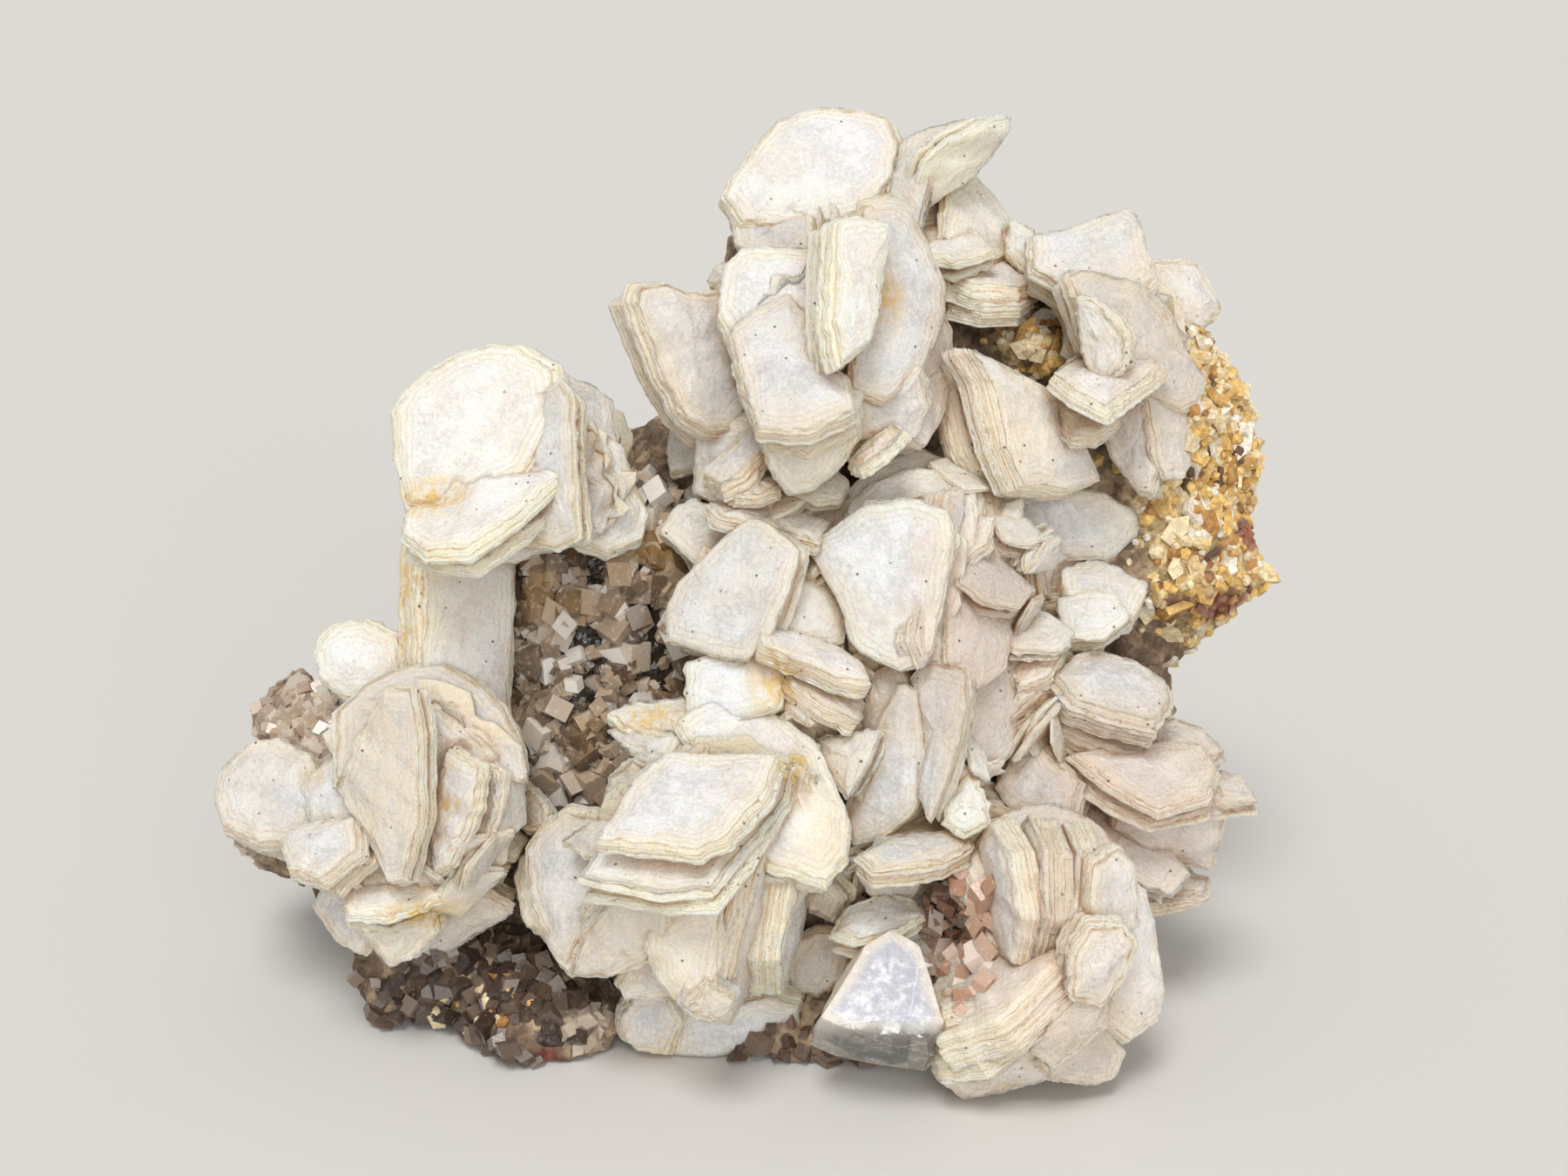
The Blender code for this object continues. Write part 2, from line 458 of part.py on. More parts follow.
                Tablet(15.5, 30, 172, 4, ((-38.4, 19), (-35.6, 26.2), (-31.6, 28.6), (-30, 27), (-29.6, 17),
                                          (-29, 7), (-32, 5.6), (-38, 7), (-40, 12))),
                Tablet(12, 18, 138, 8, ((-54.6, 24.8), (-53, 27.2), (-49.6, 30.3), (-45, 32.8), (-40.6, 34.1),
                                        (-36.5, 33.8), (-32, 31), (-31, 25), (-36, 16), (-46, 10.5),
                                        (-52.6, 11), (-54, 18))),
                Tablet(8, 38, 30, 7, ((-37, 34), (-33.4, 33), (-29.6, 30), (-25.5, 28), (-23.4, 26.2),
                                      (-22.8, 20), (-27, 14), (-35, 18), (-38, 27))),
                Tablet(6.5, 28, 15, 5.5, ((-28.6, 22), (-25, 21.8), (-22.2, 19.8), (-20.6, 15.4), (-18.4, 10),
                                          (-19.4, 6.6), (-24, 4.6), (-28, 6))),
                Tablet(11, 30, 268, 8, ((-43, 6), (-36, 11), (-30, 13), (-28.4, 7), (-31, 5), (-37, 3),
                                        (-42, 3))),
            ),
        ),
        (
            None,
            (
                Tablet(6, 30, 2, 8.5, ((-49.4, 9), (-44, 10), (-37.2, 9), (-37.2, -6), (-38, -18),
                                       (-45, -19), (-50, -12), (-50, -3))),
            ),
        ),
    ),
    "small_left_disc": (
        (
            Heart(-2, -12, ((-62, -9), (-56, -8), (-55, -14), (-60, -15))),
            (
                Tablet(3, 18, 108, 5, ((-65.2, -9), (-64.6, -6.6), (-62.4, -4.8), (-58, -4.2), (-53.6, -6.4),
                                       (-52.6, -11), (-56, -14.6), (-61, -15), (-64.4, -12.6))),
            ),
        ),
    ),
    "far_left_disc": (
        (
            Heart(-2, -12, ((-74, -25), (-66, -25), (-65, -34), (-71, -34))),
            (
                Tablet(6, 30, 124, 8, ((-79.4, -29), (-78.6, -25.5), (-76.6, -23), (-73.6, -20.6),
                                       (-70, -20.4), (-65.4, -23), (-63, -29), (-67, -35), (-73, -35.4),
                                       (-78, -33))),
            ),
        ),
    ),
    "back_left_crystals": (
        (
            Heart(-28, -40, ((-30, 14), (-16, 18), (-12, 4), (-22, -4), (-32, 0))),
            (
                Tablet(-45, 158, 150, 8, ((-36, 10), (-30, 20), (-20, 22), (-12, 12), (-16, 0), (-28, -4),
                                          (-36, 0))),
                Tablet(-40, 138, 200, 7, ((-38, -2), (-34, 10), (-26, 14), (-22, 2), (-28, -12),
                                          (-36, -12))),
                Tablet(-44, 150, 80, 7, ((-20, 16), (-12, 24), (-2, 22), (0, 12), (-8, 6), (-18, 8))),
                Tablet(-42, 140, 280, 6, ((-28, -2), (-14, 0), (-8, -8), (-14, -16), (-26, -14))),
            ),
        ),
    ),
    "back_right_crystals": (
        (
            Heart(-28, -40, ((24, 12), (38, 14), (42, 0), (34, -12), (22, -6))),
            (
                Tablet(-47, 154, 30, 8, ((22, 8), (28, 16), (40, 16), (46, 6), (42, -6), (30, -8),
                                         (22, -2))),
                Tablet(-43, 134, 10, 7, ((38, 12), (46, 16), (50, 6), (50, -8), (44, -14), (38, -4))),
                Tablet(-46, 142, 260, 7, ((20, -6), (32, -4), (42, -8), (40, -18), (28, -22),
                                          (18, -16))),
            ),
        ),
    ),
    "back_top_crystals": (
        (
            Heart(-24, -34, ((2, 44), (14, 46), (18, 34), (10, 26), (0, 32))),
            (
                Tablet(-40, 150, 110, 8, ((-4, 40), (2, 50), (12, 52), (20, 44), (18, 32), (8, 26),
                                          (-2, 30))),
                Tablet(-37, 128, 70, 6, ((8, 46), (16, 54), (24, 50), (24, 40), (14, 38))),
                Tablet(-39, 136, 230, 6, ((-6, 34), (4, 34), (8, 24), (0, 18), (-8, 24))),
            ),
        ),
    ),
    "lower_blades": (
        (
            Heart(4, -12, ((6, -44), (15, -42), (16, -50), (6, -52))),
            (
                Tablet(14, 58, 92, 4, ((6.4, -47.4), (8.6, -43.6), (14, -41.6), (18, -42.6), (19.6, -45),
                                       (16, -47), (10, -48.6))),
                Tablet(8, 16, 210, 6, ((-0.2, -53), (1.2, -49.8), (4.4, -47.8), (9, -48), (9, -54),
                                       (4.6, -56.6), (1, -55.8))),
                Tablet(10, 30, 190, 4, ((2.6, -42.4), (6.2, -40.6), (8, -43), (6.4, -46.4), (3.2, -45))),
            ),
        ),
    ),
    "bottom_blocks": (
        (
            Heart(2, -16, ((-19, -58), (0, -56), (2, -61), (-8, -65), (-18, -63))),
            (
                Tablet(9, 20, 262, 9, ((-22.8, -59.6), (-21, -56.6), (-16, -56.4), (-14.8, -60),
                                       (-16.4, -64.6), (-20.6, -64.4), (-22.6, -62.6))),
                Tablet(7, 24, 272, 10, ((-16, -60), (-9, -58.4), (-2, -56.6), (2.6, -58), (2.4, -61),
                                        (-1, -65), (-6, -67.6), (-11, -67.8), (-16, -65.6))),
            ),
        ),
    ),
}


def sketch_frame():
    """Turns (across, up, towards the eye) into the specimen's own axes."""
    up = Vector((0, math.sin(SIGHT_TILT), math.cos(SIGHT_TILT)))
    towards = Vector((0, -math.cos(SIGHT_TILT), math.sin(SIGHT_TILT)))
    frame = Matrix((Vector((1, 0, 0)), up, towards)).transposed().to_4x4()
    frame.translation = Vector((0, 0, SKETCH_HEIGHT))
    return frame


FRAME = sketch_frame()
EYE = Vector((0, 0, SIGHT_DISTANCE))


def on_sight_line(point, depth):
    """The place at this depth that is seen at this sketch point."""
    share = (SIGHT_DISTANCE - depth) / SIGHT_DISTANCE
    return Vector((point[0] * share, point[1] * share, depth))


def facing(lean, clock):
    """The unit normal of a face that leans this far from the line of sight."""
    lean, clock = math.radians(lean), math.radians(clock)
    return Vector((math.sin(lean) * math.cos(clock), math.sin(lean) * math.sin(clock), math.cos(lean)))


def traced_outline(tablet):
    """The tablet's corners, where the lines of sight meet its plane."""
    across = sum(c[0] for c in tablet.corners) / len(tablet.corners)
    up = sum(c[1] for c in tablet.corners) / len(tablet.corners)
    middle = on_sight_line((across, up), tablet.depth)
    normal = facing(tablet.lean, tablet.clock)
    outline = []
    for corner in tablet.corners:
        ray = Vector((corner[0], corner[1], 0)) - EYE
        outline.append(EYE + ray * ((middle - EYE).dot(normal) / ray.dot(normal)))
    return outline, normal


def book_outline(book, sides=6):
    """An oval plate with flat sides, lying across the line of sight."""
    normal = facing(book.lean, book.clock)
    along = Vector((-math.sin(math.radians(book.clock)), math.cos(math.radians(book.clock)), 0))
    away = normal.cross(along)
    middle = on_sight_line(book.centre, book.depth) - Vector((0, 0, 1)) * book.half_width
    outline = []
    for side in range(sides):
        turn = 2 * math.pi * (side + 0.5) / sides
        outline.append(
            middle + along * (book.half_length * math.cos(turn)) + away * (book.half_width * math.sin(turn))
        )
    return [p + normal * (book.thick / 2) for p in outline], normal


def place(point):
    """A sketch point in millimetres, in metres on the specimen's own axes."""
    return FRAME @ point * MM


def swept_area(outline, normal):
    """Twice the area that the outline turns round, seen with its normal towards the eye."""
    area = Vector((0, 0, 0))
    for here, after in zip(outline, outline[1:] + outline[:1]):
        area += (here - outline[0]).cross(after - outline[0])
    return area.dot(normal)


def offset(outline, normal, distance):
    """The outline moved outwards in its own plane, or inwards when the distance is negative."""
    moved = []
    for before, here, after in zip(outline[-1:] + outline[:-1], outline, outline[1:] + outline[:1]):
        first = (here - before).cross(normal).normalized()
        second = (after - here).cross(normal).normalized()
        bisector = (first + second) / max(1 + first.dot(second), SHARPEST_MITRE)
        moved.append(here + bisector * distance)
    return moved


def new_object(name, bm):
    """Turns a bmesh into an object of the scratch collection."""
    mesh = bpy.data.meshes.new(name)
    bm.to_mesh(mesh)
    bm.free()
    solid = bpy.data.objects.new(name, mesh)
    scratch().objects.link(solid)
    return solid


def scratch():
    """The collection of solids that are still to be joined, or that only cut others."""
    if "cutters" not in bpy.data.collections:
        bpy.context.scene.collection.children.link(bpy.data.collections.new("cutters"))
    return bpy.data.collections["cutters"]


def lofted(name, rings):
    """A closed solid through rings that have the same number of corners, first ring at the front."""
    bm = bmesh.new()
    loops = [[bm.verts.new(place(p)) for p in ring] for ring in rings]
    bm.faces.new(loops[0])
    bm.faces.new(loops[-1][::-1])
    for front, back in zip(loops, loops[1:]):
        for side in range(len(front)):
            after = (side + 1) % len(front)
            bm.faces.new((front[side], back[side], back[after], front[after]))
    bmesh.ops.recalc_face_normals(bm, faces=bm.faces)
    return new_object(name, bm)


def plate(name, outline, normal, thick, layers, grow):
    """A tablet: its face on the outline's plane, its layers stacked behind it, its rims bevelled."""
    if swept_area(outline, normal) < 0:
        outline = outline[::-1]
    layer = thick / max(layers, 1)
    bevel = min(RIM_SHARE * layer, RIM_MOST)
    grow += TRACED_INSIDE
    rings = [] if layers else [(0, 0)]
    for level in range(layers):
        top = -level * layer
        rings.append((top, -bevel))
        rings.append((top - layer * RIM_HEIGHT, 0))
    rings.append((-thick, -bevel * BACK_TAPER))
    rings[0] = (grow, rings[0][1])
    rings[-1] = (-thick - grow, rings[-1][1])
    return lofted(name, [
        [p + normal * height for p in offset(outline, normal, inset + grow)] for height, inset in rings
    ])


def tablet_solid(name, crystal, grow):
    """One tablet or book, larger all round by the growth."""
    if isinstance(crystal, Book):
        outline, normal = book_outline(crystal)
        layers = 2 if crystal.thick < THICK_BOOK else 3
    else:
        outline, normal = traced_outline(crystal)
        layers = sum(crystal.thick >= least for least in (BEVELLED_TABLET, THICK_TABLET))
    return plate(name, outline, normal, crystal.thick, layers, grow)


def stem_solid(name, tablet, heart, grow):
    """What joins a tablet to the heart: its outline made small, from inside it back to the heart."""
    outline, normal = traced_outline(tablet)
    if swept_area(outline, normal) < 0:
        outline = outline[::-1]
    middle = sum(outline, Vector()) / len(outline)
    core = sum((Vector((c[0], c[1], 0)) for c in heart.corners), Vector()) / len(heart.corners)
    seen_at = Vector((middle.x, middle.y, 0)).lerp(core, STEM_LEAN)
    depth = min(heart.front, tablet.depth - tablet.thick) - STEM_SUNK
    root = on_sight_line(seen_at, depth)
    while (root - middle).dot(normal) > -tablet.thick:
        root.z -= STEM_STEP
    start = middle - normal * (tablet.thick / 2)
    outline = offset(outline, normal, grow)
    return lofted(name, [
        [start + (p - middle) * STEM_TOP for p in outline], [root + (p - middle) * STEM_FOOT for p in outline]
    ])


def heart_solid(name, heart, grow):
    """The intergrown middle of a group: its outline carried back along the lines of sight."""
    rings = []
    outline = [Vector((c[0], c[1], 0)) for c in heart.corners]
    normal = Vector((0, 0, 1))
    if swept_area(outline, normal) < 0:
        outline = outline[::-1]
    for depth, inset in ((heart.front + grow, HEART_TAPER), (heart.back - grow, 0)):
        rings.append([on_sight_line(p, depth) for p in offset(outline, normal, grow - inset)])
    return lofted(name, rings)


def boolean(solid, others, operation):
    """Joins the other solids to this one, or cuts them out of it, and keeps the first closed result."""
    operands = bpy.data.collections.new("operands")
    for other in others:
        operands.objects.link(other)
    modifier = solid.modifiers.new(operation.lower(), "BOOLEAN")
    modifier.operation = operation
    modifier.operand_type = "COLLECTION"
    modifier.collection = operands
    for solver in ("EXACT", "MANIFOLD"):
        modifier.solver = solver
        graph = bpy.context.evaluated_depsgraph_get()
        shape = bpy.data.meshes.new_from_object(solid.evaluated_get(graph))
        if is_closed(shape):
            break
    solid.modifiers.clear()
    solid.data = shape
    bpy.data.collections.remove(operands)


def is_closed(mesh):
    """Whether a mesh has faces, and every edge of it is shared by two of them."""
    sides = Counter(key for face in mesh.polygons for key in face.edge_keys)
    return bool(sides) and all(count == 2 for count in sides.values())


def joined(name, solids):
    """One solid made of several that overlap."""
    whole = solids[0]
    whole.name = name
    if len(solids) > 1:
        boolean(whole, solids[1:], "UNION")
    for solid in solids[1:]:
        bpy.data.objects.remove(solid)
    return whole


def touching(solid, other):
    """Whether two solids' surfaces cross."""
    trees = [
        BVHTree.FromPolygons([v.co for v in item.data.vertices], [p.vertices for p in item.data.polygons])
        for item in (solid, other)
    ]
    return bool(trees[0].overlap(trees[1]))


def overlapping(solid, other):
    """Whether two solids' boxes meet."""
    boxes = []
    for item in (solid, other):
        corners = [v.co for v in item.data.vertices]
        boxes.append([(min(c[i] for c in corners), max(c[i] for c in corners)) for i in range(3)])
    return all(a[0] < b[1] and b[0] < a[1] for a, b in zip(*boxes))


def keep_main_body(solid):
    """Drops the chips that a cut has left loose."""
    bm = bmesh.new()
    bm.from_mesh(solid.data)
    unseen = set(bm.verts)
    bodies = []
    while unseen:
        body = set()
        reached = [next(iter(unseen))]
        while reached:
            vertex = reached.pop()
            if vertex not in body:
                body.add(vertex)
                reached.extend(e.other_vert(vertex) for e in vertex.link_edges)
        unseen -= body
        bodies.append(body)
    for body in sorted(bodies, key=body_size)[:-1]:
        bmesh.ops.delete(bm, geom=list(body), context="VERTS")
    bmesh.ops.triangulate(bm, faces=bm.faces)
    bm.to_mesh(solid.data)
    bm.free()


def drop_slivers(solid):
    """Takes out the faces that add least to a solid's shape."""
    whole = solid.data.copy()
    with_modifier(solid, "DECIMATE", ratio=KEPT_FACES)
    if not is_closed(solid.data):
        solid.data = whole


def body_size(body):
    """A body's size along the diagonal of its box."""
    spans = [max(v.co[i] for v in body) - min(v.co[i] for v in body) for i in range(3)]
    return Vector(spans).length


def cut_at_floor(solid, height=0.0):
    """Cuts off what is below this height, so that the solid rests flat."""
    bm = bmesh.new()
    bm.from_mesh(solid.data)
    everything = bm.verts[:] + bm.edges[:] + bm.faces[:]
    bmesh.ops.bisect_plane(
        bm, geom=everything, plane_co=(0, 0, height), plane_no=(0, 0, 1), clear_inner=True
    )
    bmesh.ops.holes_fill(bm, edges=[e for e in bm.edges if e.is_boundary], sides=0)
    bmesh.ops.recalc_face_normals(bm, faces=bm.faces)
    bm.to_mesh(solid.data)
    bm.free()


def crystal_group(name, clusters, grow=0.0):
    """A group of clusters grown together, larger all round by the growth."""
    whole = None
    for number, (heart, crystals) in enumerate(clusters):
        piece = cluster(f"{name}_{number}", heart, crystals, grow)
        whole = joined(name, [whole, piece] if whole else [piece])
    return whole


def cluster(name, heart, crystals, grow):
    """One cluster: its heart, its crystals, and a stem for each crystal that stands clear."""
    tablets = [tablet_solid(f"{name}_{number}", c, grow) for number, c in enumerate(crystals)]
    if not heart:
        return joined(name, tablets)
    grown_on = [heart_solid(f"{name}_heart", heart, grow)]
    waiting = list(zip(tablets, crystals))
    while waiting:
        reached = [pair for pair in waiting if any(touching(pair[0], solid) for solid in grown_on)]
        if not reached:
            reached = waiting[:1]
            grown_on.append(stem_solid(f"{name}_stem_{len(waiting)}", reached[0][1], heart, grow))
        grown_on += [tablet for tablet, _ in reached]
        waiting = [pair for pair in waiting if pair not in reached]
    return joined(name, grown_on)


def lump(name, centre, radii):
    """An ellipsoid of rock, sketched as it is seen: its middle's across, up and depth, and its radii."""
    bpy.ops.mesh.primitive_ico_sphere_add(subdivisions=LUMP_SUBDIVISIONS, radius=MM)
    solid = bpy.context.active_object
    solid.name = name
    share = (SIGHT_DISTANCE - centre[2]) / SIGHT_DISTANCE
    turned = FRAME.copy()
    turned.translation = place(on_sight_line(centre[:2], centre[2]))
    solid.data.transform(turned @ Matrix.Diagonal((radii[0] * share, radii[1] * share, radii[2], 1)))
    for owner in list(solid.users_collection):
        owner.objects.unlink(solid)
    scratch().objects.link(solid)
    return solid


def with_modifier(solid, kind, **settings):
    """Applies one modifier to a solid."""
    modifier = solid.modifiers.new(kind.lower(), kind)
    for name, value in settings.items():
        setattr(modifier, name, value)
    shape = bpy.data.meshes.new_from_object(solid.evaluated_get(bpy.context.evaluated_depsgraph_get()))
    solid.modifiers.clear()
    solid.data = shape


def roughen(solid):
    """Breaks the smooth rock up into ledges and pits, with noise along its normals."""
    bm = bmesh.new()
    bm.from_mesh(solid.data)
    bm.normal_update()
    for vertex in bm.verts:
        at = vertex.co / MM
        ledges = noise.voronoi(at / ROCK_LEDGE)[0][0]
        pits = noise.noise(at / ROCK_PIT)
        rise = RELIEF_BASE - RELIEF_OF_LEDGES * ledges + RELIEF_OF_PITS * pits
        vertex.co += vertex.normal * ROCK_RELIEF * rise * MM
    bm.to_mesh(solid.data)
    bm.free()


def rock():
    """The matrix: lumps of rock grown into one, broken into ledges and cut flat underneath."""
    solid = joined("matrix_rock", [lump(f"lump_{n}", *shape) for n, shape in enumerate(ROCK_LUMPS)])
    with_modifier(solid, "REMESH", mode="VOXEL", voxel_size=ROCK_GRAIN * MM)
    roughen(solid)
    with_modifier(solid, "REMESH", mode="VOXEL", voxel_size=ROCK_GRAIN * MM)
    with_modifier(solid, "DECIMATE", ratio=ROCK_FACES / len(solid.data.polygons) / 2)
    cut_at_floor(solid)
    keep_main_body(solid)
    return solid


def swollen(solid, name, distance):
    """A copy of a solid, moved out along its normals, that cuts a gap round it."""
    copy = bpy.data.objects.new(name, solid.data.copy())
    scratch().objects.link(copy)
    bm = bmesh.new()
    bm.from_mesh(copy.data)
    bm.normal_update()
    shifts = [(v, v.normal * distance * MM * v.calc_shell_factor()) for v in bm.verts]
    for vertex, shift in shifts:
        vertex.co += shift
    bm.to_mesh(copy.data)
    bm.free()
    return copy


def rhomb(name, place_at, size, turn):
    """A small rhombohedral crystal: a cube stood on a corner and pressed flat."""
    bm = bmesh.new()
    bmesh.ops.create_cube(bm, size=size * MM)
    to_corner = Vector((1, 1, 1)).rotation_difference(Vector((0, 0, 1))).to_matrix().to_4x4()
    flatter = Matrix.Diagonal((1, 1, RHOMB_SQUAT, 1))
    bmesh.ops.transform(bm, matrix=turn @ flatter @ to_corner, verts=bm.verts)
    bmesh.ops.translate(bm, vec=place_at, verts=bm.verts)
    return new_object(name, bm)


def crust(name, beds, spots, sizes, seed, back):
    """A bed of small rhombs: flat lumps of crust, with crystals standing on their side that shows."""
    draw = random.Random(seed)
    bed = joined(name, [lump(f"{name}_{n}", *shape) for n, shape in enumerate(beds)])
    with_modifier(bed, "REMESH", mode="VOXEL", voxel_size=CRUST_GRAIN * MM)
    with_modifier(bed, "DECIMATE", ratio=CRUST_FACES / len(bed.data.polygons) / 2)
    solids = [bed]
    for number in range(spots):
        across, up = draw.uniform(*CRUST_SPREAD[name][0]), draw.uniform(*CRUST_SPREAD[name][1])
        start = place(Vector((across, up, back + LOOKED_FROM)))
        sight = place(Vector((across, up, back))) - start
        hit, point, normal, _ = bed.ray_cast(start, sight.normalized())
        if not hit:
            continue
        spin = Matrix.Rotation(draw.uniform(0, 2 * math.pi), 4, "Z")
        stand = normal.to_track_quat("Z", "Y").to_matrix().to_4x4()
        tilt = Matrix.Rotation(draw.uniform(-RHOMB_TILT, RHOMB_TILT), 4, "X")
        solids.append(rhomb(f"{name}_rhomb_{number}", point, draw.uniform(*sizes), stand @ tilt @ spin))
    return joined(name, solids)


def finish(solid, name, parts, look):
    """Names a finished solid, gives it its material and moves it to the specimen's collection."""
    colour, roughness, transmission = LOOKS[look]
    material = bpy.data.materials.new(f"{name}_{look}")
    material.use_nodes = True
    shader = material.node_tree.nodes["Principled BSDF"]
    shader.inputs["Base Color"].default_value = (*colour, 1)
    shader.inputs["Roughness"].default_value = roughness
    shader.inputs["Metallic"].default_value = 0
    shader.inputs["Transmission Weight"].default_value = transmission
    shader.inputs["IOR"].default_value = CALCITE_IOR
    solid.name = name
    solid.data.name = name
    solid.data.materials.clear()
    solid.data.materials.append(material)
    for owner in list(solid.users_collection):
        owner.objects.unlink(solid)
    parts.objects.link(solid)


def main():
    """Builds the rock, the groups on it and the crusts in its hollows."""
    for thing in list(bpy.data.objects):
        bpy.data.objects.remove(thing)
    parts = bpy.data.collections.new("calcite_specimen")
    bpy.context.scene.collection.children.link(parts)

    matrix = rock()
    cutters = [swollen(matrix, "room_for_matrix", GAP)]
    for name, clusters in GROUPS.items():
        group = crystal_group(name, clusters)
        in_the_way = [c for c in cutters if overlapping(group, c)]
        boolean(group, in_the_way, "DIFFERENCE")
        cut_at_floor(group)
        keep_main_body(group)
        drop_slivers(group)
        finish(group, name, parts, GROUP_LOOKS.get(name, "white_calcite"))
        cutters.append(crystal_group(f"room_for_{name}", clusters, GAP))
    for name, (beds, spots, sizes, seed, back) in CRUSTS.items():
        bed = crust(name, beds, spots, sizes, seed, back)
        boolean(bed, [c for c in cutters if overlapping(bed, c)], "DIFFERENCE")
        cut_at_floor(bed)
        keep_main_body(bed)
        finish(bed, name, parts, "brown_druse")
        cutters.append(swollen(bed, f"room_for_{name}", GAP))
    finish(matrix, "matrix_rock", parts, "iron_rock")
    for cutter in cutters:
        bpy.data.objects.remove(cutter)


if __name__ == "__main__":
    main()
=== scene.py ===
"""Calcite specimen, dressed: rosettes of plated tablets, druse hollows and iron-stained rock.

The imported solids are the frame. Each group of tablets is grown again here from the same sketch with
its plates, ragged rims and growth steps, the hollows are set with small rhombs, and the rock gets its
ledges and grains. Sketch sizes are millimetres as seen along the line of sight, and MM turns them into
metres. X is to the right, Z is up and the display side looks along -Y.
"""

import logging
import math
from dataclasses import dataclass, field, replace
from enum import Enum
from typing import Callable, NamedTuple, Sequence

import bmesh
import bpy
import numpy as np
from mathutils import Matrix, Vector, noise


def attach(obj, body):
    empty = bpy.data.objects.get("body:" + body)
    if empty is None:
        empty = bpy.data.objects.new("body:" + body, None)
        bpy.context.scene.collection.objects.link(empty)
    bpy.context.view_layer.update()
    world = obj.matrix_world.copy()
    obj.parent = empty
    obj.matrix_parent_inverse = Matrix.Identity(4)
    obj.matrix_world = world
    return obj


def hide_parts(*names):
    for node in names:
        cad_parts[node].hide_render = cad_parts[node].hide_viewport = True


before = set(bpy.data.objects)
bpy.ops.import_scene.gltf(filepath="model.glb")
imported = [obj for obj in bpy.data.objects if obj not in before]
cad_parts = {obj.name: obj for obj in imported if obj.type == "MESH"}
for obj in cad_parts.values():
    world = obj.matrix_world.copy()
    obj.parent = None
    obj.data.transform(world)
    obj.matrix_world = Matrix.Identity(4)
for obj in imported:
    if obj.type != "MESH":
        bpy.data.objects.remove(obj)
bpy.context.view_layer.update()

log = logging.getLogger("calcite")

MM = 0.001
BODY = "root"
FLOOR_GAP = 0.2 * MM
TOWARDS_EYE = np.array((0.0, 0.0, 1.0))
# How fast a zone's weight falls off towards its edge
ZONE_EDGE = 1.6
# A leaf's own thickness as a share of its place in the tablet, and a heart's width as one of its sketch
LEAF_SHARE = 0.8
HEART_SHARE = 0.9
# A root aims this share of the way to the heart's middle, goes this deep, and narrows by these widths
ROOT_AIM = 0.45
ROOT_DEPTH = 3.0
ROOT_WIDTHS = (0.86, 0.4)

Array = np.ndarray
Draw = np.random.Generator
MeshData = bpy.types.Mesh
Piece = bpy.types.Object
Socket = bpy.types.NodeSocket
Point2 = tuple[float, float]
Point3 = tuple[float, float, float]
Colour = tuple[float, float, float]


class Tablet(NamedTuple):
    """A tablet seen on its face: its lean from the line of sight, and the clock angle it leans to."""

    depth: float
    lean: float
    clock: float
    thick: float
    corners: tuple[Point2, ...]


class Book(NamedTuple):
    """A stack of plates seen on its edge."""

    depth: float
    lean: float
    clock: float
    thick: float
    centre: Point2
    half_length: float
    half_width: float


class Heart(NamedTuple):
    """The intergrown middle of a cluster: where its front and back lie, and its outline."""

    front: float
    back: float
    corners: tuple[Point2, ...]


Crystal = Tablet | Book
Cluster = tuple[Heart | None, tuple[Crystal, ...]]


def grown(*parts: Heart | Crystal | None) -> tuple[Cluster, ...]:
    """Sorts a group's sketch into its clusters.

    Args:
        parts: Each heart, or None for a cluster without one, followed by the crystals on it.

    Returns:
        The clusters.
    """
    clusters: list[tuple[Heart | None, list[Crystal]]] = []
    for part in parts:
        if part is None or isinstance(part, Heart):
            clusters.append((part, []))
        else:
            clusters[-1][1].append(part)
    return tuple((heart, tuple(crystals)) for heart, crystals in clusters)


@dataclass(frozen=True)
class Zone:
    """A soft-edged ellipsoid in the sketch frame, where a stain or a kind of rock shows."""

    centre: Point3
    radii: Point3
    strength: float = 1.0


def zones(*rows: tuple[float, ...]) -> tuple[Zone, ...]:
    """Makes zones of rows of a centre, the radii and, where it isn't 1, the strength."""
    return tuple(Zone(row[:3], row[3:6], *row[6:]) for row in rows)


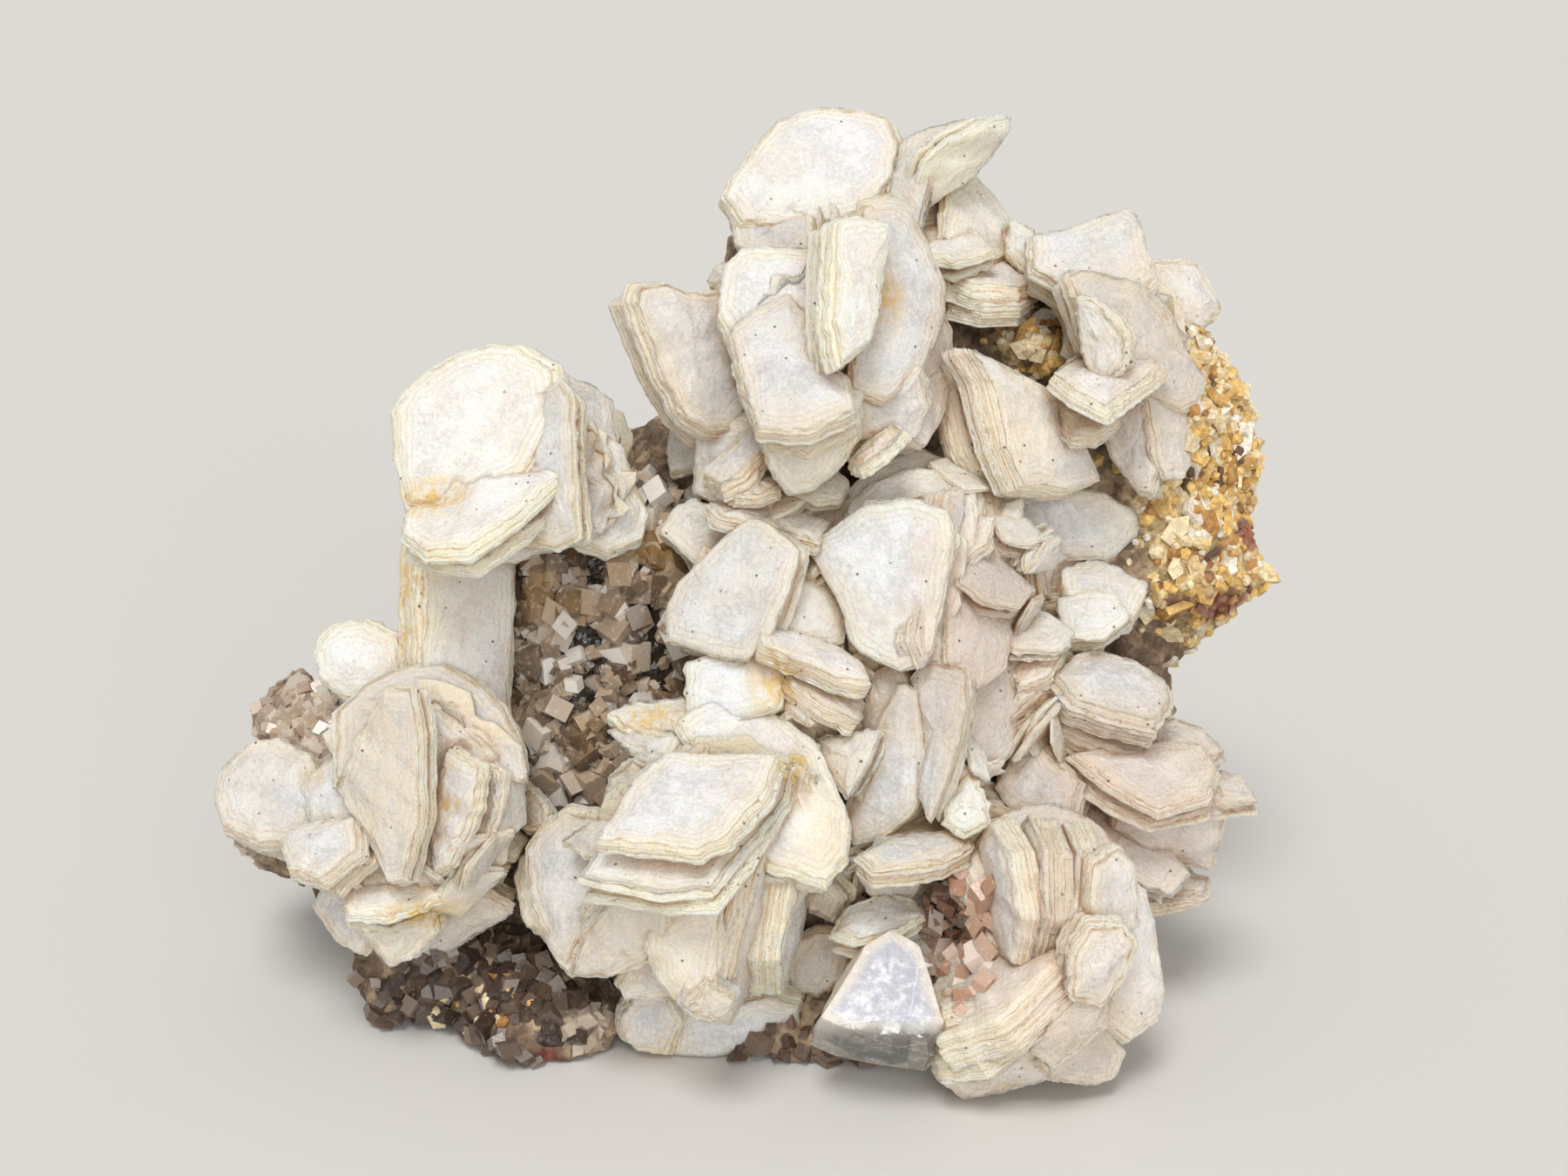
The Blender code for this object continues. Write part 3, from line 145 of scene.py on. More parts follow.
# The order of the groups, and of the crystals in each, sets their random growth.
GROUPS: dict[str, tuple[Cluster, ...]] = {
    "front_rosette": grown(
        Heart(22, -8, ((-24, -30), (-12, -21), (3, -24), (5, -36), (-4, -50), (-14, -53), (-24, -46))),
        Tablet(31, 45, 95, 2.6, ((-26, -34.5), (-21, -26.5), (-16.5, -22), (-1, -22.8), (-2.5, -28),
            (-8, -34), (-12, -36))),
        Tablet(28.5, 45, 95, 4.2, ((-29, -40), (-25.5, -34), (-15, -23), (1.5, -24.5), (0.5, -29),
            (-5, -36), (-10, -42), (-17, -42.8))),
        Tablet(20, 32, 70, 6, ((-15, -18), (-10, -15.3), (-4, -15.3), (1, -17.8), (5, -21), (7.5, -27),
            (9.6, -32), (9, -37), (6, -40.5), (-2, -38))),
        Book(27, 76, 344, 6.5, (-5.2, -43), 17.5, 9),
        Book(24, 80, 350, 6.0, (0.0, -41), 15.5, 9),
        Tablet(25, 32, 240, 7, ((-29.8, -54), (-28.5, -48), (-24, -42.5), (-16, -42.5), (-15.5, -50),
            (-20, -53), (-24.5, -54.2))),
        Tablet(20, 25, 275, 5, ((-23.5, -55.5), (-20, -50), (-11, -49), (-12, -56), (-15, -57.8),
            (-22, -57.2))),
        Tablet(27, 15, 250, 6, ((-19.5, -50), (-18.5, -46), (-14, -43.5), (-9, -44), (-8.5, -51),
            (-10, -56.5), (-12.5, -58.5), (-14.5, -58.3), (-17.5, -55))),
        Tablet(26.5, 20, 300, 5, ((-14, -58.3), (-10.8, -54.5), (-6.5, -57), (-7.5, -59.5), (-10, -60.4),
            (-12.5, -59.8))),
        Tablet(16, 28, 160, 5, ((-36, -36), (-34, -33), (-30.5, -30.5), (-26, -31.5), (-25, -38),
            (-27, -46), (-30.5, -52.5), (-32.5, -50), (-35.3, -44))),
        Tablet(11, 26, 165, 4.5, ((-38, -40), (-37, -37), (-31, -34), (-27, -42), (-30.8, -53.3),
            (-33, -49.2), (-36.5, -46))),
        Tablet(14, 42, 110, 5, ((-24.5, -17), (-20.5, -15.3), (-14, -14.8), (-11, -17), (-14, -21),
            (-20, -20))),
        Tablet(16, 40, 130, 4, ((-24.8, -19.5), (-21, -18.8), (-14, -20), (-15.5, -23.5), (-20, -24))),
        Tablet(17, 35, 170, 4, ((-25.5, -30), (-24.5, -26), (-21, -23.5), (-17, -26), (-21, -32))),
        Tablet(23, 40, 150, 3.5, ((-31.2, -35), (-27, -32), (-22, -32), (-24, -37), (-28, -37.2))),
    ),
    "lower_right_rosette": grown(
        Heart(18, -14, ((26, -40), (33, -33), (45, -36), (50, -46), (48, -60), (36, -67), (25, -63))),
        Tablet(15, 38, 88, 6, ((24, -37.5), (25.5, -34.5), (29, -31.5), (33, -29.7), (38, -29.3),
            (43, -31.5), (46.5, -35), (47, -40), (36, -44), (26, -42))),
        Book(27, 76, 186, 4.6, (32.2, -43.5), 9.5, 8),
        Book(27, 80, 178, 4.6, (36.6, -43.0), 9.5, 8),
        Book(26, 78, 172, 4.6, (41.0, -42.5), 8.5, 8),
        Tablet(25, 30, 15, 6, ((43, -38), (46.5, -35.6), (48.6, -38), (49.6, -43), (49.3, -47), (45, -49),
            (42.5, -44))),
        Book(27, 68, 128, 7.0, (31.5, -57.5), 12.0, 9),
        Book(24, 66, 122, 5.0, (27.2, -63.0), 7.0, 8),
        Tablet(28, 25, 320, 6, ((40, -51), (42.5, -46.8), (47, -46.6), (49, -49.5), (47, -54.5),
            (44, -58.2), (40, -57))),
        Tablet(25, 25, 290, 6, ((34, -64.5), (37, -60), (41, -56.5), (46, -57), (45, -61), (41, -64.6),
            (37.5, -66.8))),
        Tablet(17, 32, 5, 6, ((48, -40), (50.5, -41.5), (51.8, -46), (52.5, -51.5), (53.3, -56),
            (52.3, -60.3), (48.5, -63), (44, -60), (45, -48))),
        Tablet(19, 30, 325, 5, ((36, -66), (40, -60), (45, -59.5), (47.6, -64.5), (46, -68), (43, -69),
            (38, -68.5))),
        Tablet(20, 34, 262, 8, ((20.2, -66), (22, -60.5), (27, -60), (34, -64), (38.5, -68), (30, -70.4),
            (24.5, -71.3), (21.5, -69))),
    ),
    "clear_crystal": grown(
        Heart(14, -10, ((8, -57), (13, -49), (19, -51), (20, -60), (15, -65), (9, -63))),
        Tablet(22, 34, 84, 11, ((4.5, -59.5), (8, -53), (10.8, -48.5), (15, -46.4), (19, -49), (21, -54),
            (23, -60.5), (20.5, -63), (14, -62.2), (8, -61))),
    ),
    "left_rosette": grown(
        Heart(14, -10, ((-62, -20), (-48, -13), (-38, -22), (-40, -38), (-50, -47), (-61, -42))),
        Tablet(12, 28, 78, 6, ((-62.5, -17), (-57.5, -12.6), (-52, -10.4), (-47, -10), (-42.5, -12.3),
            (-38.5, -16.6), (-36, -22), (-35.6, -26.5), (-44, -27), (-62, -26))),
        Tablet(20, 24, 188, 5, ((-55.3, -13.6), (-52, -13.6), (-50.8, -20), (-50.6, -32), (-53, -40.6),
            (-55, -41), (-58.5, -34), (-62.3, -28), (-60, -21.5))),
        Book(17.5, 74, 4, 3.8, (-49.2, -29.8), 9.0, 7),
        Tablet(18.5, 38, 172, 7, ((-47, -22.5), (-42.5, -25), (-43.5, -31), (-46.5, -38.5), (-49, -40),
            (-49.5, -30))),
        Tablet(12, 38, 160, 5, ((-67.5, -28), (-66, -25.5), (-62.5, -23), (-58, -25), (-58, -32),
            (-66, -33))),
        Tablet(17, 44, 130, 6.5, ((-70.3, -35), (-69, -33), (-64, -31.4), (-59.5, -31.4), (-59, -36),
            (-64.5, -40.3), (-69, -39))),
        Tablet(16, 46, 88, 4, ((-61.6, -41), (-57, -39.6), (-49, -40.5), (-46.5, -42), (-50, -43.7),
            (-55, -45.4), (-60.6, -45))),
        Tablet(11, 26, 190, 7, ((-65.6, -44), (-64.2, -41.2), (-59, -40), (-55.5, -46), (-58.5, -51),
            (-62, -49.2))),
        Tablet(14.5, 24, 300, 7, ((-59, -47.2), (-55, -44.6), (-49, -43.6), (-47.8, -48), (-51, -51.6),
            (-54.6, -52.8))),
        Tablet(9, 34, 275, 6, ((-49, -43.6), (-45, -42), (-41, -43), (-37.2, -45.3), (-41, -47.6),
            (-46, -50.6), (-51, -51.8))),
        Tablet(10, 26, 285, 5, ((-45, -39.8), (-43.5, -36.3), (-40.5, -35.4), (-38.2, -37.4),
            (-39.4, -41.3), (-42.6, -41.9))),
        Tablet(9, 50, 45, 4, ((-41.5, -33), (-39.5, -30.4), (-35, -34.4), (-36.6, -37.2), (-39.5, -36.4))),
        Tablet(8, 36, 150, 4, ((-38.4, -28.4), (-36.2, -27), (-33.4, -30.5), (-33.6, -32.8), (-36, -32.9),
            (-38, -31))),
    ),
    "upper_rosette": grown(
        Heart(12, -16, ((-4, 42), (6, 49), (17, 46), (20, 34), (14, 22), (2, 16), (-5, 26))),
        Tablet(23, 32, 18, 10, ((8, 51), (11, 51.8), (15, 50.8), (14.7, 45), (13.6, 38), (12.3, 34),
            (8.6, 31), (7.4, 37), (7.8, 45))),
        Tablet(12, 22, 112, 6, ((-9.3, 38), (-8.3, 45), (-6, 47.2), (-2, 47.4), (5, 47), (8, 40), (2, 32),
            (-7, 33))),
        Tablet(19, 34, 100, 7, ((-7.6, 36.4), (-4.5, 38.8), (0.5, 41), (3, 38.5), (5, 32), (8.8, 29.5),
            (9.8, 25), (3, 22), (-3.6, 22.5), (-6.2, 30))),
        Tablet(19, 26, 268, 9, ((-4.6, 25), (3, 25.5), (9.9, 25), (9.4, 19.5), (7, 15.5), (3.5, 12.8),
            (0.5, 12.4), (-1.8, 15.5))),
        Tablet(15, 22, 8, 6, ((11, 53.4), (15, 54.4), (17.4, 52.8), (20.3, 47.5), (22.6, 42), (22.4, 37),
            (19.5, 30), (14, 25.5), (9.5, 27), (10, 40))),
        Tablet(10, 30, 2, 6, ((21, 42), (23.8, 36), (24, 31), (22.8, 24.5), (20, 19.4), (15, 21),
            (14, 32))),
        Tablet(14, 30, 300, 6, ((9, 26), (15, 27.5), (19, 30), (20.5, 25), (18.5, 20.4), (13, 19.6),
            (9, 20.4))),
        Tablet(17, 55, 130, 2.6, ((8.4, 17.4), (11, 20.4), (15, 23), (16.3, 22), (13, 18.8), (10, 16.8))),
        Tablet(7, 20, 200, 6, ((-12.6, 21.5), (-12.8, 13), (-8, 11), (3, 10), (6, 14), (-2, 24), (-8, 23))),
        Tablet(12, 50, 120, 3, ((-11.6, 16.4), (-8, 19.6), (-4, 23.2), (-2.5, 20), (-6, 16), (-9, 14.4))),
        Tablet(12, 55, 95, 3, ((-8.4, 15), (-5, 17.2), (-1.8, 17.2), (-0.6, 14.6), (-3.5, 13.4),
            (-6.6, 13.5))),
        Tablet(11, 60, 80, 3.2, ((-10.5, 12.3), (-3, 12.2), (3, 11.4), (7, 9.6), (5, 7), (-2, 9),
            (-9, 10.6))),
        Tablet(3, 40, 160, 3, ((-11.2, 42.4), (-9.5, 45), (-6, 46), (-5, 41), (-9, 40.6))),
        Heart(2, -14, ((-12, 36), (-4, 36), (-2, 22), (-9, 22))),
        Tablet(-3, 38, 166, 4.2, ((-15.7, 24.8), (-16.8, 19), (-16.2, 15.6), (-12, 17), (-8, 20),
            (-8.6, 25.5))),
        Tablet(8, 27, 12, 8, ((-20.6, 39.8), (-20, 42), (-16, 42.3), (-13.3, 40.9), (-8, 41), (-5.5, 34),
            (-4, 25), (-7, 21.6), (-10, 21.4), (-13.4, 23.5), (-17, 30))),
    ),
    "crown_rosette": grown(
        Heart(-8, -22, ((-4, 62), (6, 63), (15, 58), (24, 54), (26, 44), (8, 42), (-4, 48))),
        Tablet(-5, 22, 112, 7.5, ((-8.7, 54.5), (-7.5, 57), (-3.5, 62.5), (-1, 65), (5, 67.1), (10, 66.9),
            (14.6, 65.6), (16.2, 62.3), (15.5, 57), (11, 52), (2, 50), (-6, 50.5))),
        Tablet(-2.5, 28, 125, 7, ((-8, 51.5), (-5, 54), (1, 53), (6, 50.5), (3, 47), (-3, 46.4),
            (-7, 47.4))),
        Tablet(-1, 36, 128, 3.6, ((16.1, 62.4), (19.6, 63.9), (24.7, 65.1), (27.4, 65.1), (27.9, 64.2),
            (23.6, 61.8), (20.3, 58.5), (18.4, 50.3), (14.2, 55.1))),
        Tablet(-0.5, 40, 318, 4.4, ((23.2, 62), (27.7, 64.2), (31.8, 65.2), (31.4, 63), (28.9, 59.3),
            (27.1, 56.9), (21.7, 53.6), (18.4, 50.3), (18.3, 54), (19.9, 59))),
        Tablet(-6, 42, 28, 5, ((26.8, 57.2), (29.5, 54.4), (32, 50.6), (32, 46), (27, 45), (22, 49),
            (22.5, 55))),
        Tablet(-1, 46, 92, 4, ((18, 50.2), (22, 51.4), (27, 49.6), (29, 47), (24, 45.4), (19, 46))),
        Heart(-6, -20, ((23, 44), (33, 44), (33, 39), (24, 39))),
        Book(1, 62, 82, 4.2, (28.2, 43.6), 7.6, 7),
        Book(2, 66, 88, 3.6, (29.2, 40.4), 6.4, 7),
    ),
    "upper_right_rosette": grown(
        Heart(0, -20, ((38, 46), (48, 48), (56, 38), (56, 24), (48, 20), (40, 26))),
        Tablet(13, 27, 200, 4, ((40.2, 40), (42.5, 39.6), (45.5, 37), (47.2, 34.5), (46.8, 30.5),
            (44.6, 28.2), (42.4, 28.8), (41, 32.5))),
        Tablet(10, 56, 88, 2.6, ((36.9, 30), (41, 33), (46, 34.6), (49, 33.6), (52.8, 31.3), (49, 28.5),
            (44.5, 25.2), (40, 27.5))),
        Tablet(8.5, 48, 92, 3, ((37.3, 26), (41, 28), (47, 26.5), (46.6, 24), (43.4, 21.8), (40.4, 21.9))),
        Tablet(6, 30, 12, 5, ((39.6, 43.4), (41, 44.4), (45.5, 43.6), (50.5, 42), (54, 38.6), (56, 33),
            (59, 28.6), (58, 25.4), (55.5, 24.4), (50, 27), (43, 34))),
        Tablet(1, 32, 82, 6, ((33.8, 49.3), (38, 50), (43, 51.7), (47.6, 52.9), (49.2, 51.8), (50.4, 48),
            (52, 43), (48, 39), (40, 41), (34, 44.5))),
        Tablet(-5, 30, 120, 4, ((31.3, 51.4), (34.5, 50), (37, 46), (34, 43.5), (30.6, 46.5))),
        Tablet(-5, 28, 25, 6, ((50.5, 45.4), (55, 45.8), (57.6, 45.3), (59.2, 42.4), (61, 38.6), (58, 36),
            (50, 38))),
        Tablet(4, 33, 8, 4.5, ((50.4, 28), (51.8, 18), (53, 15.2), (55.6, 15), (57.5, 19.5), (56.8, 24.5),
            (54.8, 27.5))),
        Tablet(4, 30, 190, 5.5, ((43.4, 22), (47, 25.6), (50.4, 28), (51, 22), (51.4, 15.6), (50.6, 13),
            (48.6, 13.4), (45, 18))),
        Heart(-2, -18, ((30, 28), (37, 25), (40, 17), (32, 17))),
        Tablet(10, 36, 8, 13, ((26.3, 33.2), (31, 31.2), (37, 28), (40, 25.4), (42.4, 20), (44.3, 15),
            (40, 13.3), (33.4, 14.2), (31, 20), (28.8, 29))),
    ),
    "middle_cluster": grown(
        Heart(5, -14, ((-12, -12), (-12, 6), (-2, 9), (8, 16), (20, 18), (30, 13), (34, 6), (34, -12),
            (33, -22), (28, -32), (22, -36), (10, -38), (9, -24), (0, -22))),
        Heart(8, -14, ((8, 10), (20, 14), (27, 10), (24, -6), (14, -9), (8, -2))),
        Tablet(17, 24, 172, 6, ((3.4, 5.4), (6, 7.2), (11, 10.8), (17, 11.6), (21.6, 10.2), (22.4, 6),
            (21, -1), (19.4, -8.5), (15.5, -10.6), (10, -8), (7.4, -1))),
        Tablet(16, 42, 8, 3.6, ((22.4, 12.6), (25, 13.2), (24.8, 7), (23.6, 0.5), (22, -6.4), (20, -10),
            (18.6, -6), (20.6, 3))),
        Tablet(11, 27, 95, 6, ((9.6, 9), (9.8, 12.2), (12.5, 14.6), (17, 16.4), (22, 16.3), (26, 14),
            (26, 6), (18, 4), (11, 5))),
        Tablet(7, 27, 78, 6, ((9.6, 13.5), (14, 18), (18.4, 19.6), (23, 17.4), (28, 14.6), (30.4, 12),
            (30.6, 7.6), (27, 5), (14, 8))),
        Tablet(13, 20, 262, 5, ((8.6, -3.6), (13, -2.6), (18.6, -4.4), (20.2, -8), (18, -11.4),
            (12.6, -12.2), (9.4, -8.6))),
        Heart(5, -14, ((-12, 3), (-4, 8), (6, 2), (7, -6), (-3, -7), (-12, -5))),
        Tablet(15, 28, 152, 6, ((-16.2, -3.5), (-14.6, 0.6), (-10, 5.2), (-5.6, 9), (-3.6, 9), (1.2, 5.2),
            (0, 0), (-2.6, -6), (-5.6, -9.2), (-10, -8.6), (-15.8, -6.6))),
        Tablet(12.5, 24, 40, 6, ((-2.4, -5), (-0.6, 4), (3.4, 3), (7.6, -0.4), (9, -4), (8, -7.4), (3, -8),
            (-1, -7.4))),
        Tablet(5, 24, 110, 5, ((-17, 8.2), (-15, 11.2), (-12.6, 12.3), (-9, 11.2), (-6, 9), (-8, 5),
            (-12.6, 4))),
        Tablet(6, 36, 80, 4, ((-2.6, 6.8), (-0.8, 8.2), (2, 8.2), (3.4, 5.4), (1, 3), (-2.6, 4))),
        Heart(8, -12, ((-10, -10), (2, -8), (10, -12), (10, -24), (0, -22), (-10, -18))),
        Tablet(16, 18, 118, 6, ((-13.3, -10.4), (-9, -9), (-3.4, -8.2), (-0.6, -10.5), (-1, -16), (-7, -18),
            (-13.2, -17))),
        Tablet(18, 56, 68, 3.4, ((-3, -5), (2, -6), (7, -7.5), (10.6, -10), (11.6, -12.4), (7, -11.6),
            (1.5, -9.2), (-2.4, -7.6))),
        Tablet(16, 52, 60, 3.4, ((-0.6, -9.6), (4, -11), (8, -12.6), (11, -15.4), (10.6, -18), (6, -16),
            (2, -13))),
        Tablet(16, 34, 190, 4, ((-1.8, -11.4), (0.4, -12), (2.4, -14), (3, -19), (0, -17.4),
            (-2.2, -15.6))),
        Tablet(13, 20, 250, 5, ((0.6, -12.6), (5, -13.4), (9, -17), (11, -20.4), (7, -22), (3, -20))),
        Tablet(16.5, 30, 160, 5, ((4.6, -21), (9, -20.2), (13.2, -19.4), (11.6, -24), (8.6, -29.2),
            (6.4, -26.4))),
        Heart(9, -12, ((12, -14), (24, -14), (24, -28), (18, -31), (11, -30))),
        Tablet(18, 30, 176, 5, ((17.4, -12.6), (20, -10.8), (24.6, -12), (24.8, -18), (22.4, -26),
            (20, -31.8), (18.4, -28), (18.6, -20))),
        Tablet(15.5, 24, 186, 6, ((13.4, -18), (15.8, -14), (18, -15), (18.8, -22), (19, -27),
            (17.4, -30.8), (13.6, -34), (9.6, -35), (8.6, -30), (11.4, -23))),
        Tablet(14, 34, 165, 4, ((11.2, -16), (12.4, -11.6), (15, -10.6), (16.6, -13), (15.6, -19),
            (12, -22), (10.6, -20))),
        Tablet(17, 28, 100, 5, ((23, -29.4), (25.4, -25.6), (27.6, -29), (28, -32.2), (25, -33.4),
            (22.4, -32))),
        Tablet(19, 60, 84, 3.4, ((11, -36.4), (15.6, -34), (20, -33.6), (24.4, -33.4), (25.4, -35),
            (22, -37), (17, -37.8), (13, -38.2))),
        Heart(5, -14, ((26, 3), (34, -2), (34, -12), (31, -20), (26, -18), (24, -6))),
        Tablet(13, 50, 48, 5, ((24.4, 4), (27.2, 6.6), (31, 3.4), (34.6, 0.2), (32.6, -2.4), (28, -1.6),
            (25, 1))),
        Tablet(14, 34, 18, 6, ((23, 0.6), (26.6, 0.6), (29.8, -2.6), (31.8, -6.4), (30.6, -11), (27, -13.6),
            (23, -10))),
        Tablet(11.5, 28, 0, 6, ((26, -13), (30.8, -10.4), (32.4, -15), (33, -21), (31, -23.4),
            (27.8, -25.6), (25, -24))),
        Tablet(8, 50, 76, 5, ((30, -4), (33, -2.6), (36.4, -3.2), (40.2, -5.8), (38, -8.4), (32, -8))),
        Tablet(8.5, 48, 100, 4, ((31.4, -9.4), (34, -7.8), (38.4, -8.6), (36.4, -11.6), (32.4, -13.2))),
        Heart(-6, -18, ((28, 12), (44, 11), (47, 0), (40, -4), (28, -4))),
        Tablet(-1, 14, 250, 6, ((30.5, 12.8), (36, 13.6), (44, 12.6), (49, 9.4), (48, 6.8), (45, 4.2),
            (38, 4), (32, 7))),
        Book(3, 76, 6, 5.6, (35.2, 1.8), 4.8, 6),
        Tablet(0, 40, 80, 4, ((38.8, 2.4), (43, 4.3), (50.2, 5.2), (50.6, 1), (48.4, -3.4), (43, -1.4),
            (39.2, -0.4))),
        Tablet(4, 30, 100, 5, ((38, -1.4), (42, -0.2), (46, -0.8), (47.6, -4), (44, -6.6), (39, -6.6))),
    ),
    "right_shelf": grown(
        Heart(-2, -18, ((38, -10), (50, -12), (55, -20), (55, -32), (46, -34), (37, -24))),
        Tablet(8, 50, 78, 12, ((37.4, -11.6), (40, -8.4), (43, -7.6), (49, -9.8), (53, -12.4), (53.7, -15),
            (51.6, -18.4), (45, -17), (40, -15))),
        Tablet(10, 50, 80, 5, ((40, -22.6), (45, -21.8), (52, -20.8), (58.4, -21.4), (60.4, -25),
            (59, -28.4), (52, -30.6), (46, -27.4))),
        Tablet(3, 50, 72, 4, ((50.6, -18.6), (54, -17.6), (58, -19.2), (61, -22.4), (58, -24),
            (52, -22.6))),
        Tablet(5, 56, 82, 3.4, ((54, -25.4), (60.6, -24.6), (63.8, -25.8), (65.7, -28.8), (61, -29.6),
            (55, -29.6))),
        Tablet(7, 30, 290, 8, ((46, -28.4), (53, -29), (60, -29.6), (61.6, -31), (60.2, -36), (59.2, -39.4),
            (53, -38), (46, -33.6))),
        Tablet(2, 52, 84, 3, ((49, -40), (54, -38.6), (58.9, -39.8), (58.6, -41.6), (56, -42.6),
            (50.6, -43.4))),
        Heart(2, -14, ((31, -24), (37, -24), (48, -34), (50, -40), (40, -36), (31, -30))),
        Tablet(9, 24, 140, 6, ((28.8, -27.4), (31, -23.4), (34.4, -20.8), (37, -22.4), (41, -27), (40, -31),
            (35, -32), (31, -31))),
        Tablet(6, 28, 65, 7, ((37, -26), (42, -27.4), (47, -30), (52, -34), (56.5, -39.4), (54, -42.6),
            (46, -40), (39, -33))),
    ),
    "upper_left_rosette": grown(
        Heart(8, -16, ((-46, 26), (-36, 29), (-26, 24), (-21, 12), (-24, 6), (-36, 8), (-46, 14))),
        Tablet(17.5, 48, 106, 6, ((-53.2, 8), (-52.6, 11), (-49, 12.2), (-43, 17.6), (-38, 19), (-31, 16),
            (-37, 10.5), (-44, 5.6), (-50, 5.4))),
        Tablet(15.5, 30, 172, 4, ((-38.4, 19), (-35.6, 26.2), (-31.6, 28.6), (-30, 27), (-29.6, 17),
            (-29, 7), (-32, 5.6), (-38, 7), (-40, 12))),
        Tablet(12, 18, 138, 8, ((-54.6, 24.8), (-53, 27.2), (-49.6, 30.3), (-45, 32.8), (-40.6, 34.1),
            (-36.5, 33.8), (-32, 31), (-31, 25), (-36, 16), (-46, 10.5), (-52.6, 11), (-54, 18))),
        Tablet(8, 38, 30, 7, ((-37, 34), (-33.4, 33), (-29.6, 30), (-25.5, 28), (-23.4, 26.2), (-22.8, 20),
            (-27, 14), (-35, 18), (-38, 27))),
        Tablet(6.5, 28, 15, 5.5, ((-28.6, 22), (-25, 21.8), (-22.2, 19.8), (-20.6, 15.4), (-18.4, 10),
            (-19.4, 6.6), (-24, 4.6), (-28, 6))),
        Tablet(11, 30, 268, 8, ((-43, 6), (-36, 11), (-30, 13), (-28.4, 7), (-31, 5), (-37, 3), (-42, 3))),
        None,
        Tablet(6, 30, 2, 8.5, ((-49.4, 9), (-44, 10), (-37.2, 9), (-37.2, -6), (-38, -18), (-45, -19),
            (-50, -12), (-50, -3))),
    ),
    "small_left_disc": grown(
        Heart(-2, -12, ((-62, -9), (-56, -8), (-55, -14), (-60, -15))),
        Tablet(3, 18, 108, 5, ((-65.2, -9), (-64.6, -6.6), (-62.4, -4.8), (-58, -4.2), (-53.6, -6.4),
            (-52.6, -11), (-56, -14.6), (-61, -15), (-64.4, -12.6))),
    ),
    "far_left_disc": grown(
        Heart(-2, -12, ((-74, -25), (-66, -25), (-65, -34), (-71, -34))),
        Tablet(6, 30, 124, 8, ((-79.4, -29), (-78.6, -25.5), (-76.6, -23), (-73.6, -20.6), (-70, -20.4),
            (-65.4, -23), (-63, -29), (-67, -35), (-73, -35.4), (-78, -33))),
    ),
    "back_left_crystals": grown(
        Heart(-28, -40, ((-30, 14), (-16, 18), (-12, 4), (-22, -4), (-32, 0))),
        Tablet(-45, 158, 150, 8, ((-36, 10), (-30, 20), (-20, 22), (-12, 12), (-16, 0), (-28, -4),
            (-36, 0))),
        Tablet(-40, 138, 200, 7, ((-38, -2), (-34, 10), (-26, 14), (-22, 2), (-28, -12), (-36, -12))),
        Tablet(-44, 150, 80, 7, ((-20, 16), (-12, 24), (-2, 22), (0, 12), (-8, 6), (-18, 8))),
        Tablet(-42, 140, 280, 6, ((-28, -2), (-14, 0), (-8, -8), (-14, -16), (-26, -14))),
    ),
    "back_right_crystals": grown(
        Heart(-28, -40, ((24, 12), (38, 14), (42, 0), (34, -12), (22, -6))),
        Tablet(-47, 154, 30, 8, ((22, 8), (28, 16), (40, 16), (46, 6), (42, -6), (30, -8), (22, -2))),
        Tablet(-43, 134, 10, 7, ((38, 12), (46, 16), (50, 6), (50, -8), (44, -14), (38, -4))),
        Tablet(-46, 142, 260, 7, ((20, -6), (32, -4), (42, -8), (40, -18), (28, -22), (18, -16))),
    ),
    "back_top_crystals": grown(
        Heart(-24, -34, ((2, 44), (14, 46), (18, 34), (10, 26), (0, 32))),
        Tablet(-40, 150, 110, 8, ((-4, 40), (2, 50), (12, 52), (20, 44), (18, 32), (8, 26), (-2, 30))),
        Tablet(-37, 128, 70, 6, ((8, 46), (16, 54), (24, 50), (24, 40), (14, 38))),
        Tablet(-39, 136, 230, 6, ((-6, 34), (4, 34), (8, 24), (0, 18), (-8, 24))),
    ),
    "lower_blades": grown(
        Heart(4, -12, ((6, -44), (15, -42), (16, -50), (6, -52))),
        Tablet(14, 58, 92, 4, ((6.4, -47.4), (8.6, -43.6), (14, -41.6), (18, -42.6), (19.6, -45), (16, -47),
            (10, -48.6))),
        Tablet(8, 16, 210, 6, ((-0.2, -53), (1.2, -49.8), (4.4, -47.8), (9, -48), (9, -54), (4.6, -56.6),
            (1, -55.8))),
        Tablet(10, 30, 190, 4, ((2.6, -42.4), (6.2, -40.6), (8, -43), (6.4, -46.4), (3.2, -45))),
    ),
    "bottom_blocks": grown(
        Heart(2, -16, ((-19, -58), (0, -56), (2, -61), (-8, -65), (-18, -63))),
        Tablet(9, 20, 262, 9, ((-22.8, -59.6), (-21, -56.6), (-16, -56.4), (-14.8, -60), (-16.4, -64.6),
            (-20.6, -64.4), (-22.6, -62.6))),
        Tablet(7, 24, 272, 10, ((-16, -60), (-9, -58.4), (-2, -56.6), (2.6, -58), (2.4, -61), (-1, -65),
            (-6, -67.6), (-11, -67.8), (-16, -65.6))),
    ),
}


def facing(lean: float, clock: float) -> Array:
    """Finds the way that a face looks, by its lean and the clock angle it leans to."""
    return np.array((math.sin(lean) * math.cos(clock), math.sin(lean) * math.sin(clock), math.cos(lean)))


def signed_area(corners: Array) -> float:
    """Measures a flat outline: more than 0 where its corners run anticlockwise."""
    after = np.roll(corners, -1, axis=0)
    return (corners[:, 0] * after[:, 1] - corners[:, 1] * after[:, 0]).sum() / 2


